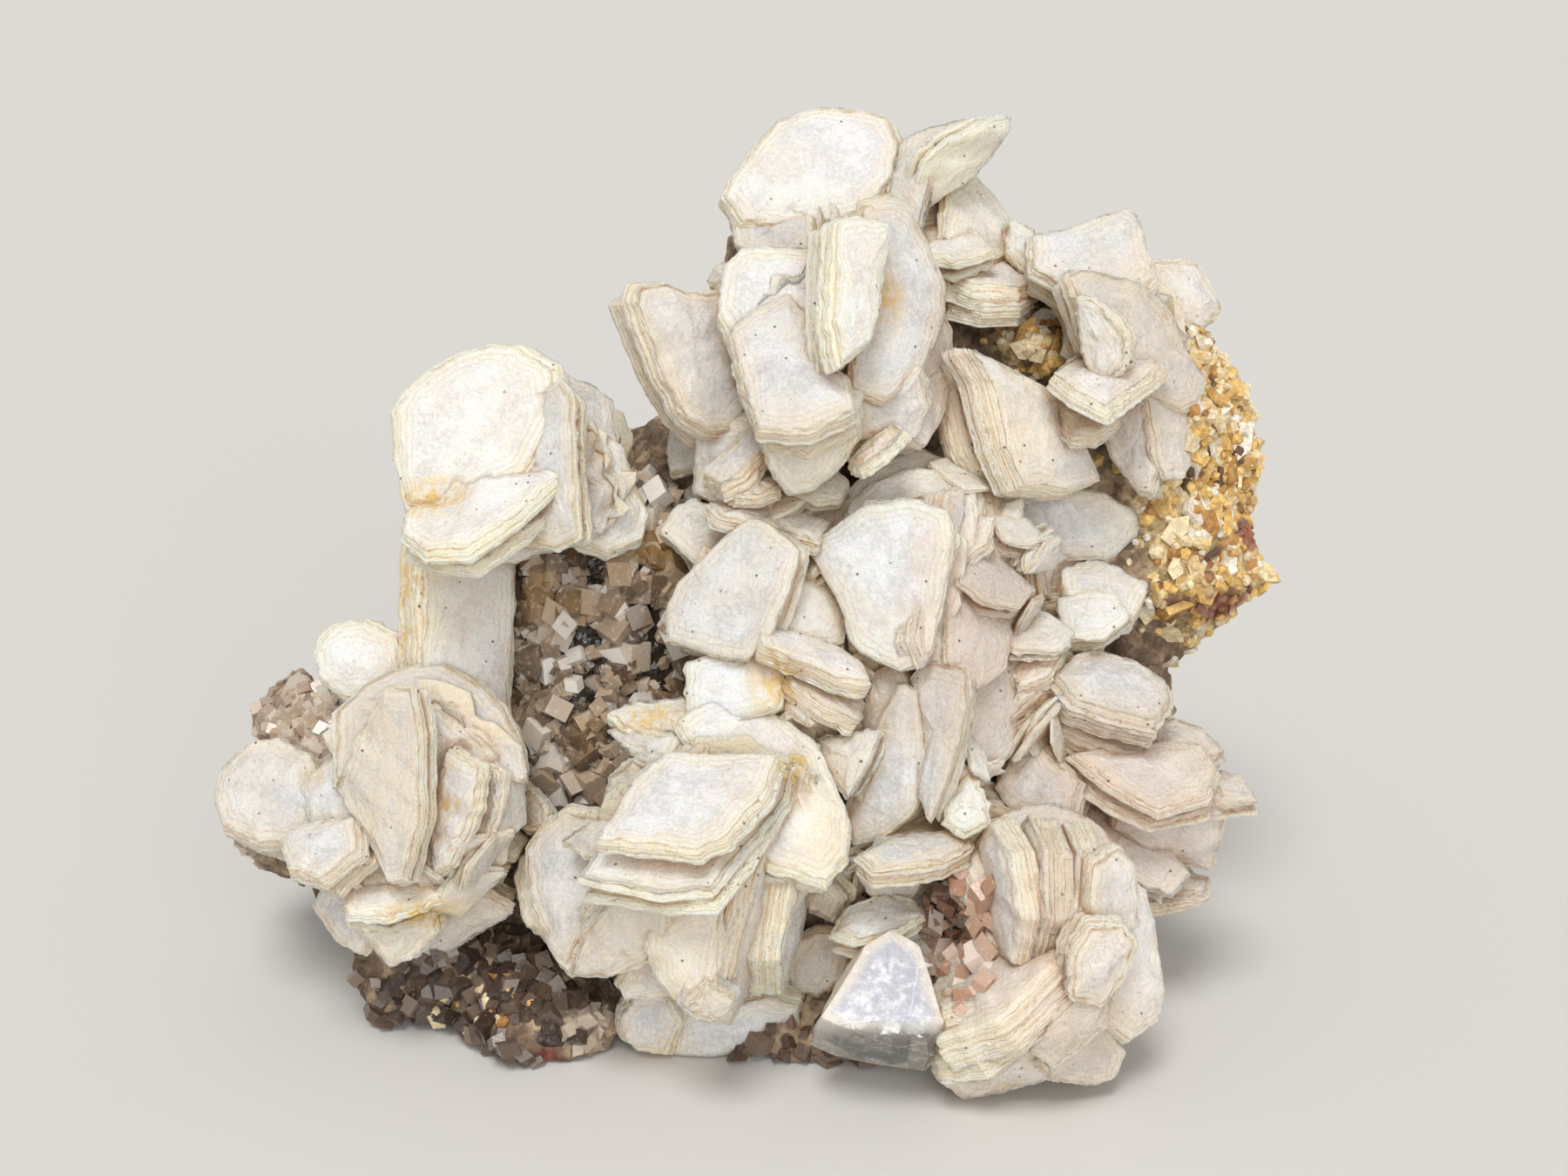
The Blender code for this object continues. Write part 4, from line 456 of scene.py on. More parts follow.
@dataclass(frozen=True)
class Sight:
    """The line of sight of the display side: the sketch frame's axes, and the camera's lens."""

    distance: float = 260.0
    tilt: float = math.radians(20.0)
    height: float = 57.5
    focal_pixels: float = 2158.0
    image_width: float = 1800.0
    sensor: float = 36.0

    @property
    def axes(self) -> Array:
        """The sketch frame's axes as columns: across, up, and towards the eye."""
        up = (0.0, math.sin(self.tilt), math.cos(self.tilt))
        towards = (0.0, -math.cos(self.tilt), math.sin(self.tilt))
        return np.array(((1.0, 0.0, 0.0), up, towards)).T

    @property
    def origin(self) -> Array:
        """The sketch frame's origin, in metres."""
        return np.array((0.0, 0.0, self.height * MM))

    @property
    def eye(self) -> Array:
        """Where the specimen is seen from, in the sketch frame."""
        return np.array((0.0, 0.0, self.distance))

    def on_line(self, point: Sequence[float], depth: float) -> Array:
        """Finds the place at a depth that is seen at a sketch point."""
        share = (self.distance - depth) / self.distance
        return np.array((point[0] * share, point[1] * share, depth))

    def placed(self, points: Array) -> Array:
        """Turns points of the sketch frame into metres on the specimen's own axes."""
        return points @ self.axes.T * MM + self.origin

    def seen(self, points: Array) -> Array:
        """Turns metres on the specimen's own axes into sketch points with their depth."""
        local = (points - self.origin) @ self.axes / MM
        share = self.distance / (self.distance - local[:, 2])
        return np.stack((local[:, 0] * share, local[:, 1] * share, local[:, 2]), axis=1)

    def outline(self, crystal: Crystal, sides: int = 7) -> tuple[Array, Array]:
        """Finds a crystal's outline on its own plane.

        Args:
            crystal: The tablet, or the book of plates seen on its edge.
            sides: How many corners a book's oval has.

        Returns:
            The outline's corners in the sketch frame, and the plane's normal.
        """
        clock = math.radians(crystal.clock)
        normal = facing(math.radians(crystal.lean), clock)
        if isinstance(crystal, Tablet):
            corners = np.array([(*corner, 0.0) for corner in crystal.corners])
            middle = self.on_line(corners[:, :2].mean(axis=0), crystal.depth)
            rays = corners - self.eye
            reach = ((middle - self.eye) @ normal) / (rays @ normal)
            return self.eye + rays * reach[:, None], normal
        along = np.array((-math.sin(clock), math.cos(clock), 0.0))
        away = np.cross(normal, along)
        middle = self.on_line(crystal.centre, crystal.depth) - np.array((0.0, 0.0, crystal.half_width))
        turns = 2 * math.pi * (np.arange(sides) + 0.5) / sides
        oval = (
            np.outer(np.cos(turns), along) * crystal.half_length
            + np.outer(np.sin(turns), away) * crystal.half_width
        )
        return middle + oval + normal * (crystal.thick / 2), normal

    def camera(self) -> None:
        """Makes the camera that sees the sketch frame as it is drawn."""
        lens = bpy.data.cameras.new("sight_camera")
        lens.sensor_width = self.sensor
        lens.lens = self.focal_pixels / self.image_width * self.sensor
        lens.clip_start = 0.01
        camera = bpy.data.objects.new("sight_camera", lens)
        turned = Matrix(self.axes.tolist()).to_4x4()
        turned.translation = Vector(self.placed(self.eye[None, :])[0])
        camera.matrix_world = turned
        bpy.context.scene.collection.objects.link(camera)
        bpy.context.scene.camera = camera


SIGHT = Sight()


def marked(areas: Sequence[Zone], points: Array) -> Array:
    """Weighs how much points lie in soft-edged zones.

    Args:
        areas: The zones, in the sketch frame.
        points: Points on the specimen, in metres.

    Returns:
        One weight for each point, from 0 outside every zone.
    """
    seen = SIGHT.seen(points)
    weight = np.zeros(len(points))
    for zone in areas:
        away = np.linalg.norm((seen - np.array(zone.centre)) / np.array(zone.radii), axis=1)
        weight = np.maximum(weight, zone.strength * np.clip(ZONE_EDGE - ZONE_EDGE * away, 0, 1))
    return weight


def marked_at(areas: Sequence[Zone], spot: Sequence[float]) -> bool:
    """Tells whether a sketch point is seen in one of the zones, at whatever depth."""
    return any(
        math.hypot(*((spot[axis] - zone.centre[axis]) / zone.radii[axis] for axis in (0, 1))) < 1
        for zone in areas
    )


def set_mark(mesh: MeshData, name: str, values: Array) -> None:
    """Writes one number for each point of a mesh, for its finish to read."""
    mark = mesh.attributes.get(name) or mesh.attributes.new(name, "FLOAT", "POINT")
    mark.data.foreach_set("value", values.astype(np.float32))


def points_of(mesh: MeshData) -> Array:
    """Reads a mesh's points, in metres."""
    flat = np.zeros(len(mesh.vertices) * 3, np.float32)
    mesh.vertices.foreach_get("co", flat)
    return flat.reshape(-1, 3).astype(float)


def mark_zones(mesh: MeshData, named: dict[str, Sequence[Zone]]) -> None:
    """Marks a mesh by how much each of its points lies in the zones of each name."""
    points = points_of(mesh)
    for name, areas in named.items():
        set_mark(mesh, name, marked(areas, points))


def keep_above_floor(mesh: MeshData) -> None:
    """Lifts the points of a mesh that lie below the floor up to it."""
    points = points_of(mesh)
    points[:, 2] = np.maximum(points[:, 2], 0.0)
    mesh.vertices.foreach_set("co", points.astype(np.float32).reshape(-1))


def roughen(mesh: MeshData, depth: float, lift: Callable[[Vector], float]) -> None:
    """Moves each point of a mesh along its normal.

    Args:
        mesh: The mesh.
        depth: How deep the roughness is, in millimetres.
        lift: Finds the share of that depth for a place in millimetres.
    """
    shape = bmesh.new()
    shape.from_mesh(mesh)
    shape.normal_update()
    for vertex in shape.verts:
        vertex.co += vertex.normal * depth * MM * lift(vertex.co / MM)
    shape.to_mesh(mesh)
    shape.free()


def dress(mesh: MeshData, finish: "Finish", edge: float) -> None:
    """Gives a mesh its finish, and smooths it but for edges sharper than this many degrees."""
    mesh.materials.clear()
    mesh.materials.append(finish.material())
    mesh.polygons.foreach_set("material_index", [0] * len(mesh.polygons))
    mesh.shade_smooth()
    mesh.set_sharp_from_angle(angle=math.radians(edge))


def evaluated(piece: Piece) -> MeshData:
    """Makes a plain mesh of an object with its modifiers applied."""
    graph = bpy.context.evaluated_depsgraph_get()
    return bpy.data.meshes.new_from_object(piece.evaluated_get(graph))


def link(name: str, mesh: MeshData) -> Piece:
    """Makes an object of a mesh and puts it in the scene."""
    piece = bpy.data.objects.new(name, mesh)
    bpy.context.scene.collection.objects.link(piece)
    return piece


def settle(piece: Piece, slot: str, nodes: Sequence[str]) -> None:
    """Rides a finished piece on the specimen, in place of the solids that it stands for.

    Args:
        piece: The finished piece.
        slot: A material slot's name, which is not used.
        nodes: The solids that it replaces.
    """
    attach(piece, BODY)
    if nodes:
        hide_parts(*nodes)
    log.info("%s: %d faces for %s", piece.name, len(piece.data.polygons), ", ".join(nodes) or "no solid")


@dataclass
class Shell:
    """A closed surface of rings: its points in the sketch frame, its faces, and its marks."""

    points: Array
    faces: list[tuple[int, ...]]
    marks: dict[str, Array]

    @classmethod
    def lofted(cls, rings: Array, front: Array, back: Array, marks: dict[str, Array]) -> "Shell":
        """Closes a stack of rings with a middle point at each end.

        Args:
            rings: The rings' points, as rings by points by axes, from the front to the back.
            front: The middle of the front face.
            back: The middle of the back face.
            marks: For each mark, one value for each point of each ring.

        Returns:
            The shell.
        """
        count, size = rings.shape[:2]
        points = np.vstack((rings.reshape(-1, 3), front[None, :], back[None, :]))
        steps = [(here, (here + 1) % size) for here in range(size)]
        faces: list[tuple[int, ...]] = []
        for upper in range(0, (count - 1) * size, size):
            lower = upper + size
            faces += [(upper + here, lower + here, lower + after, upper + after) for here, after in steps]
        last = (count - 1) * size
        faces += [(count * size, here, after) for here, after in steps]
        faces += [(count * size + 1, last + after, last + here) for here, after in steps]
        spread = {
            name: np.concatenate((value.reshape(-1), [value[0].mean(), value[-1].mean()]))
            for name, value in marks.items()
        }
        return cls(points, faces, spread)

    def build(self, name: str) -> Piece:
        """Makes an object of the shell, with its marks."""
        mesh = bpy.data.meshes.new(name)
        mesh.from_pydata(SIGHT.placed(self.points).tolist(), [], self.faces)
        for mark, values in self.marks.items():
            set_mark(mesh, mark, values)
        return link(name, mesh)


def sharpened(corners: Array, shortest: float, even: float, reach: float = 2.6) -> Array:
    """Runs the long edges of an outline on to meet where a short edge had cut a corner off.

    Args:
        corners: The outline's corners, in the sketch frame.
        shortest: The share of the whole outline below which an edge counts as short.
        even: How many times the shortest edge the longest one is, at the least.
        reach: How far from the short edge the new corner may lie, in millimetres.

    Returns:
        The outline, with no more than a third of its corners gone.
    """
    kept = list(corners)
    whole = sum(np.linalg.norm(kept[n] - kept[n - 1]) for n in range(len(kept)))
    for _ in range(len(kept) // 3):
        lengths = [np.linalg.norm(kept[(n + 1) % len(kept)] - kept[n]) for n in range(len(kept))]
        at = int(np.argmin(lengths))
        if lengths[at] > shortest * whole or max(lengths) < even * lengths[at]:
            break
        before, start = kept[at - 1], kept[at]
        end, after = kept[(at + 1) % len(kept)], kept[(at + 2) % len(kept)]
        ways = np.stack((start - before, after - end), axis=1)
        shares = np.linalg.lstsq(ways, end - start, rcond=None)[0]
        meeting = start + ways[:, 0] * shares[0]
        if shares[0] < 0 or shares[1] > 0 or np.linalg.norm(meeting - (start + end) / 2) > reach:
            break
        kept[at] = meeting
        del kept[(at + 1) % len(kept)]
    return np.array(kept)


def ripple(draw: Draw, size: int, lowest: int, highest: int) -> Array:
    """Draws a smooth wave that closes on itself round a rim, between -1 and 1 or so.

    Args:
        draw: Where the random numbers come from.
        size: How many points lie round the rim.
        lowest: The fewest waves round it.
        highest: The most waves round it.

    Returns:
        The wave's height at each point.
    """
    turn = 2 * math.pi * np.arange(size) / size
    wave = np.zeros(size)
    for count in range(lowest, highest + 1):
        wave += draw.normal() * np.sin(count * turn + draw.uniform(0, 2 * math.pi))
    return wave / math.sqrt(highest - lowest + 1)


@dataclass(frozen=True)
class PlateGrowth:
    """How a crystal is stacked of plates. Sizes are millimetres."""

    spacing: float = 0.40
    fewest: int = 36
    most: int = 190
    plate: float = 0.62
    rounding: float = 0.05
    jut: float = 0.045
    ledge: float = 0.5
    ledges: float = 0.2
    wave: float = 0.07
    tooth: float = 0.10
    groove: float = 0.045
    drift: float = 0.10
    flare: float = 0.26
    step: float = 0.26
    bevel: float = 1.4
    bevel_depth: float = 1.8
    spread: float = 0.3
    swell: float = 0.26
    grain: float = 0.05
    insets: tuple[float, ...] = (0.3, 0.7, 1.2, 1.9, 2.8)
    shares: tuple[float, ...] = (0.2, 0.42, 0.62, 0.8)

    def rim(self, corners: Array) -> tuple[Array, Array]:
        """Spaces points evenly round an outline and rounds its corners off.

        Args:
            corners: The outline on its own plane, anticlockwise.

        Returns:
            The rim's points, and the way out of the outline at each.
        """
        closed = np.vstack((corners, corners[:1]))
        reach = np.concatenate(([0.0], np.cumsum(np.linalg.norm(np.diff(closed, axis=0), axis=1))))
        size = int(np.clip(reach[-1] / self.spacing, self.fewest, self.most))
        at = np.arange(size) / size * reach[-1]
        rim = np.stack([np.interp(at, reach, closed[:, axis]) for axis in (0, 1)], axis=1)
        window = round(self.rounding * size / reach[-1])
        rim = sum(np.roll(rim, shift, axis=0) for shift in range(-window, window + 1)) / (2 * window + 1)
        along = np.roll(rim, -1, axis=0) - np.roll(rim, 1, axis=0)
        out = np.stack((along[:, 1], -along[:, 0]), axis=1)
        return rim, out / np.linalg.norm(out, axis=1)[:, None]

    def on_plane(self, outline: Array, normal: Array) -> tuple[Array, Array, Array, Array]:
        """Lays an outline on its own plane.

        Args:
            outline: The outline's corners, in the sketch frame.
            normal: The plane's normal.

        Returns:
            The outline's middle, the plane's two axes, the rim's points on it, and the ways out.
        """
        centre = outline.mean(axis=0)
        first = outline[0] - centre
        first -= normal * (first @ normal)
        first /= np.linalg.norm(first)
        axes = np.stack((first, np.cross(normal, first)))
        flat = (outline - centre) @ axes.T
        if signed_area(flat) < 0:
            flat = flat[::-1]
        return centre, axes, *self.rim(flat)

    def grow(self, outline: Array, normal: Array, thick: float, draw: Draw, tone: float) -> Shell:
        """Stacks one crystal of plates behind its face.

        Args:
            outline: The face's corners, in the sketch frame.
            normal: The face's normal.
            thick: The stack's thickness.
            draw: Where the random numbers come from.
            tone: The crystal's shade, from 0 to 1.

        Returns:
            The crystal.
        """
        centre, axes, rim, out = self.on_plane(outline, normal)
        size = len(rim)
        radius = np.linalg.norm(rim, axis=1)
        widest = min(self.bevel, 0.3 * radius.min())
        bevel = np.clip((draw.uniform(0.3, 0.7) + 0.3 * ripple(draw, size, 1, 4)) * widest, 0.08, widest)
        bevel_depth = min(self.bevel_depth, 0.6 * thick)
        shared = ripple(draw, size, 9, 22) * self.wave
        rings: list[tuple[Array, Array, Array, float, Array | float]] = []

        def inward(amount: Array) -> Array:
            """Draws the rim in towards the middle."""
            return rim * (1 - amount / radius)[:, None]

        def slope(depth: float) -> Array:
            """Finds how far the bevel draws the rim in at a depth."""
            return bevel * ((1 - min(depth / bevel_depth, 1.0)) ** 1.3 - self.spread)

        steps = [
            (draw.uniform(0.5, 1.8) + ripple(draw, size, 2, 9) * 0.5, draw.uniform(0.5, 1.3) * self.step),
            (draw.uniform(2.0, 4.5) + ripple(draw, size, 1, 6) * 0.9, draw.uniform(0.3, 1.0) * self.step),
        ]
        sway = draw.uniform(0, 2 * math.pi, 5)

        def face_height(points: Array, inset: Array) -> Array:
            """Lowers the face by its growth steps towards the rim, and lets it swell."""
            height = self.swell * np.sin(points[:, 0] * 0.55 + sway[0]) * np.sin(points[:, 1] * 0.5 + sway[1])
            height += self.swell * 0.5 * np.sin(points[:, 0] * 1.3 - points[:, 1] * 0.9 + sway[2])
            height += self.grain * np.sin(points[:, 0] * 3.1 + sway[3]) * np.sin(points[:, 1] * 2.7 + sway[4])
            for edge, drop in steps:
                height -= drop * np.clip((edge - inset) / 0.4, 0, 1)
            return height

        cuts = np.cumsum(np.exp(draw.normal(0, 0.5, max(2, round(thick / self.plate)))))
        cuts = np.concatenate(([0.0], cuts)) * (thick / cuts[-1])
        plates = len(cuts) - 1
        broad, step_out = np.zeros(size), 0.0
        juts = []
        for plate in range(plates):
            if plate and draw.uniform() < self.ledges:
                step_out = draw.uniform(-0.8, 1.0) * self.ledge
                broad = ripple(draw, size, 1, 4) * self.ledge * 0.35
            own = draw.normal() * self.jut + ripple(draw, size, 2, 8) * self.jut * 0.6
            own = own * min(plate, 1) + step_out + broad
            juts.append(own + ripple(draw, size, 9, 22) * self.wave + shared)
        heading = draw.uniform(0, 2 * math.pi)
        way = np.array((math.cos(heading), math.sin(heading)))
        shifts = [way * self.drift * plate * draw.uniform(0.3, 1.6) for plate in range(plates)]
        flare = draw.uniform(0.0, self.flare)
        juts = [jut + flare * min(depth, 3.0) for depth, jut in zip(cuts, juts)]

        brink = slope(0.0)
        zero = np.zeros(size)
        limit = (1 - self.shares[-1]) * (radius - brink).min() * 0.95
        insets = [(radius - brink) * (1 - share) for share in self.shares]
        insets += [zero + inset for inset in sorted(self.insets, reverse=True) if inset < limit]
        for inset in insets:
            points = inward(brink + inset)
            rings.append((points, face_height(points, inset), inset, 0.0, 0.0))
        edge = face_height(inward(brink), zero) + draw.normal(size=size) * self.grain
        for plate in range(plates):
            top, bottom = cuts[plate], cuts[plate + 1]
            layer = bottom - top
            ragged = np.clip(0.35 + 0.9 * ripple(draw, size, 2, 7), 0.1, 2.0)
            teeth = np.minimum(draw.normal(size=size) ** 2, 2.2) * self.tooth * ragged
            reach = juts[plate] + teeth * draw.uniform(size=size)
            rise, lip = (zero, 0.8) if plate else (edge, 0.35)
            for deep, sunk, height, side in (
                (top, 0.11, rise - top - 0.14 * layer, lip),
                (top + 0.3 * layer, 0.0, zero - top - 0.55 * layer, 1.0),
            ):
                points = inward(slope(deep)) + out * (reach - sunk)[:, None] + shifts[plate]
                rings.append((points, height, zero, side, 0.0))
            if plate < plates - 1:
                open_here = np.clip(0.45 + 0.55 * ripple(draw, size, 1, 5), 0.05, 1.6)
                dark = draw.uniform() ** 1.6
                gap = self.groove * (0.3 + 1.5 * dark) * open_here
                shift = (shifts[plate] + shifts[plate + 1]) / 2
                reach = np.minimum(juts[plate], juts[plate + 1]) - gap
                points = inward(slope(top + 0.5 * layer)) + out * reach[:, None] + shift
                rings.append((points, zero - bottom, zero, 1.0, dark * open_here))
        for share in (0.93, 0.5):
            rings.append((rim * share + shifts[-1], zero - cuts[-1], radius * (1 - share), 1.0, 0.0))

        heights, insets, sides, cracks = (np.stack([zero + row[n] for row in rings]) for n in range(1, 5))
        tones = np.full_like(heights, tone)
        marks = {"inset": insets, "side": sides, "crack": cracks, "level": heights, "tone": tones}
        solid = centre + np.stack([row[0] for row in rings]) @ axes + heights[..., None] * normal
        return Shell.lofted(solid, centre + normal * heights[0].mean(), centre - normal * thick, marks)

    def root(self, outline: Array, normal: Array, thick: float, heart: Heart,
             depth: float, draw: Draw, tone: float) -> Shell:
        """Carries a crystal back to its heart in plates that get smaller.

        Args:
            outline: The face's corners, in the sketch frame.
            normal: The face's normal.
            thick: The stack's thickness.
            heart: The heart that the crystal grows on.
            depth: How deep the crystal's own back lies.
            draw: Where the random numbers come from.
            tone: The crystal's shade.

        Returns:
            The root.
        """
        centre, axes, rim, out = self.on_plane(outline, normal)
        core = np.array(heart.corners).mean(axis=0)
        aim = centre[:2] + (core - centre[:2]) * ROOT_AIM
        inward = -ROOT_DEPTH if normal[2] > 0 else ROOT_DEPTH
        end = SIGHT.on_line(aim, (min(heart.front, depth) if normal[2] > 0 else heart.back) + inward)
        while (end - centre) @ normal > -thick:
            end[2] += inward / 6
        start = centre - normal * (thick / 2)
        size = len(rim)
        count = max(5, int(np.linalg.norm(end - start) / (self.plate * 1.1)))
        rings = []
        for number in range(count):
            share = number / (count - 1)
            reach = ripple(draw, size, 2, 9) * self.wave - (number % 2) * self.groove
            width = ROOT_WIDTHS[0] + (ROOT_WIDTHS[1] - ROOT_WIDTHS[0]) * share
            flat_ring = rim * width + out * reach[:, None]
            rings.append(start + (end - start) * share + flat_ring @ axes)
        every = np.zeros((count, size))
        depths = np.linspace(0, np.linalg.norm(end - start), count)[:, None]
        cracks = (np.arange(count) % 2)[:, None]
        marks = {"inset": every, "side": every + 1, "crack": every + cracks, "level": every - depths}
        marks["tone"] = every + tone
        return Shell.lofted(np.stack(rings), start, end, marks)


TABLET_GROWTH = PlateGrowth()
ROOT_GROWTH = PlateGrowth(spacing=1.1, plate=0.8)
CLEAR_GROWTH = PlateGrowth(
    plate=5.5, jut=0.02, ledges=0.0, wave=0.03, tooth=0.03, groove=0.0, drift=0.0, flare=0.05, step=0.1,
    swell=0.1,
)
CROWDED_GROWTH = PlateGrowth(
    spacing=1.0, spread=0.5, bevel=0.5, bevel_depth=0.6, flare=0.1, plate=0.75, insets=(0.3, 1.0),
    shares=(0.55,), swell=0.12, tooth=0.24,
)
BOOK_GROWTH = PlateGrowth(jut=0.08, ledge=0.7, ledges=0.25, groove=0.05, wave=0.06, flare=0.04, bevel=0.6)
HEART_GROWTH = PlateGrowth(
    spacing=1.2, plate=1.6, jut=0.6, ledge=1.5, ledges=0.4, wave=0.4, groove=0.5, tooth=0.3, step=0.8,
    swell=0.9, grain=0.15,
)
SMALL_GROWTH = PlateGrowth(
    spacing=0.9, fewest=18, plate=0.6, rounding=0.05, ledge=0.3, step=0.12, bevel=0.6, bevel_depth=0.8,
    swell=0.08, insets=(0.4,), shares=(0.5, 0.8),
)


def united(name: str, solids: list[Piece]) -> Piece:
    """Joins closed solids that overlap into one surface, and cuts it off at the floor.

    Args:
        name: The name of the piece.
        solids: The solids, which are used up.

    Returns:
        The piece.
    """
    whole = solids[0]
    if len(solids) > 1:
        boolean(whole, solids[1:], "UNION")
    if points_of(whole.data)[:, 2].min() < 0:
        ground = bmesh.new()
        bmesh.ops.create_cube(ground, size=1.0, matrix=Matrix.Translation((0, 0, -0.5)))
        mesh = bpy.data.meshes.new("ground")
        ground.to_mesh(mesh)
        ground.free()
        boolean(whole, [link("ground", mesh)], "DIFFERENCE")
    whole.name = name
    whole.data.name = name
    return whole


def boolean(whole: Piece, others: list[Piece], operation: str) -> None:
    """Joins other solids to one, or cuts them out of it, and uses them up.

    Args:
        whole: The solid that is kept.
        others: The solids that are used up.
        operation: UNION or DIFFERENCE.
    """
    operands = bpy.data.collections.new("operands")
    for other in others:
        operands.objects.link(other)
    modifier = whole.modifiers.new("join", "BOOLEAN")
    modifier.operation = operation
    modifier.operand_type = "COLLECTION"
    modifier.collection = operands
    modifier.solver = "MANIFOLD"
    shape = evaluated(whole)
    whole.modifiers.clear()
    if len(shape.polygons):
        whole.data = shape
    else:
        log.warning("%s: the solids could not be joined", whole.name)
    bpy.data.collections.remove(operands)
    for other in others:
        bpy.data.objects.remove(other)


class Bench:
    """Lays out one shader or geometry tree: adds nodes, sets their values and links them."""

    def __init__(self, tree: bpy.types.NodeTree) -> None:
        """Starts on an empty tree."""
        self.tree = tree
        self.at: Socket | None = None
        tree.nodes.clear()

    def add(self, kind: str, values: dict | None = None, **settings: object) -> bpy.types.Node:
        """Adds a node.

        Args:
            kind: The node's type.
            values: Values or sockets, by the name or the number of the input that they go to.
            settings: The node's own settings.

        Returns:
            The node.
        """
        node = self.tree.nodes.new(kind)
        for name, value in settings.items():
            setattr(node, name, value)
        for name, value in (values or {}).items():
            self.put(node.inputs[name], value)
        return node

    def put(self, socket: Socket, value: object) -> None:
        """Links a socket to an output, or sets its value."""
        if isinstance(value, bpy.types.Node):
            value = value.outputs[0]
        if isinstance(value, Socket):
            self.tree.links.new(value, socket)
        elif isinstance(value, tuple) and len(value) == 3 and socket.type == "RGBA":
            socket.default_value = (*value, 1.0)
        else:
            socket.default_value = value

    def maths(self, operation: str, first: object, second: object = 0.0, clamp: bool = False) -> Socket:
        """Adds a sum of two values."""
        values = {0: first, 1: second}
        return self.add("ShaderNodeMath", values, operation=operation, use_clamp=clamp).outputs[0]

    def plus(self, first: object, second: object, clamp: bool = False) -> Socket:
        """Adds two values up."""
        return self.maths("ADD", first, second, clamp)

    def times(self, first: object, second: object) -> Socket:
        """Multiplies two values."""
        return self.maths("MULTIPLY", first, second)

    def sine(self, value: object, rate: float, shift: object) -> Socket:
        """Makes waves along a value, shifted by another."""
        return self.maths("SINE", self.plus(self.times(value, rate), shift))

    def mark(self, name: str) -> Socket:
        """Reads one of the piece's own marks."""
        return self.add("ShaderNodeAttribute", attribute_name=name).outputs["Fac"]

    def own(self) -> Socket:
        """Reads a number that each loose part of the piece has for itself."""
        return self.add("ShaderNodeNewGeometry").outputs["Random Per Island"]

    def first_of(self, colour: object) -> Socket:
        """Reads a colour's first channel."""
        return self.add("ShaderNodeSeparateColor", {0: colour}).outputs[0]

    def blend(self, share: object, under: object, colour: object, kind: str = "MIX") -> Socket:
        """Lays a share of a colour over another."""
        values = {0: share, 6: under, 7: colour}
        return self.add("ShaderNodeMix", values, data_type="RGBA", blend_type=kind).outputs[2]

    def ramp(self, value: object, low: float, high: float, start: float = 0.0, end: float = 1.0) -> Socket:
        """Turns a range of values into another, with soft ends."""
        values = {"Value": value, "From Min": low, "From Max": high, "To Min": start, "To Max": end}
        return self.add("ShaderNodeMapRange", values, interpolation_type="SMOOTHSTEP").outputs[0]

    def over(self, under: object, colour: object, value: object, low: float, high: float, most: float = 1.0,
             least: float = 0.0) -> Socket:
        """Lays a colour over another as a value goes from low to high."""
        return self.blend(self.ramp(value, low, high, least, most), under, colour)

    def toned(self, colour: object, value: object, darkest: float, lightest: float) -> Socket:
        """Darkens or lightens a colour by a value from 0 to 1."""
        shade = self.ramp(value, 0.0, 1.0, darkest, lightest)
        grey = self.add("ShaderNodeCombineColor", {0: shade, 1: shade, 2: shade})
        return self.blend(1.0, colour, grey, "MULTIPLY")

    def noise(self, size: float, detail: float = 3.0, rough: float = 0.55) -> Socket:
        """Adds noise whose patches are about this many millimetres wide."""
        values = {"Scale": 1 / (size * MM), "Detail": detail, "Roughness": rough, "Vector": self.at}
        return self.add("ShaderNodeTexNoise", values).outputs["Fac"]

    def cells(self, size: float, output: str = "Distance", feature: str = "F1", at: object = None) -> Socket:
        """Adds cells that are about this many millimetres wide."""
        values = {"Scale": 1 / (size * MM), "Vector": at or self.at}
        return self.add("ShaderNodeTexVoronoi", values, feature=feature).outputs[output]

    def relief(self, *layers: tuple[object, float, float]) -> Socket:
        """Lays bumps over each other, each given by its height, its depth in millimetres and its strength."""
        under: dict[str, object] = {}
        for height, depth, strength in layers:
            values = {"Height": height, "Distance": depth * MM, "Strength": strength}
            under = {"Normal": self.add("ShaderNodeBump", values | under).outputs[0]}
        return under["Normal"]

    def surface(self, colour: object, gloss: object, relief: object,
                glow: tuple[float, Colour, float] | None = None, **more: object) -> bpy.types.Node:
        """Adds the shader.

        Args:
            colour: Its colour.
            gloss: Its roughness.
            relief: Its relief.
            glow: How much light goes under the surface, how far each colour goes, and the scale in metres.
            more: Other inputs, with an underscore for each space in their names.

        Returns:
            The shader.
        """
        values = {"Base Color": colour, "Roughness": gloss, "Normal": relief}
        if glow:
            values |= dict(zip(("Subsurface Weight", "Subsurface Radius", "Subsurface Scale"), glow))
        values |= {name.replace("_", " "): value for name, value in more.items()}
        return self.add("ShaderNodeBsdfPrincipled", values)


class Finish:
    """A finish that makes its material once."""

    name = "finish"
    made: dict[str, bpy.types.Material] = {}

    def material(self) -> bpy.types.Material:
        """Returns the finish's material, made at its first use."""
        made = Finish.made.get(self.name)
        if made is None:
            made = bpy.data.materials.new(f"{self.name}_finish")
            Finish.made[self.name] = made
            made.use_nodes = True
            bench = Bench(made.node_tree)
            bench.at = bench.add("ShaderNodeTexCoord").outputs["Object"]
            bench.add("ShaderNodeOutputMaterial", {"Surface": self.shade(bench)})
        return made

    def shade(self, bench: Bench) -> bpy.types.Node:
        """Lays out the finish on object coordinates.

        Args:
            bench: The material's tree.

        Returns:
            The shader.
        """
        raise NotImplementedError


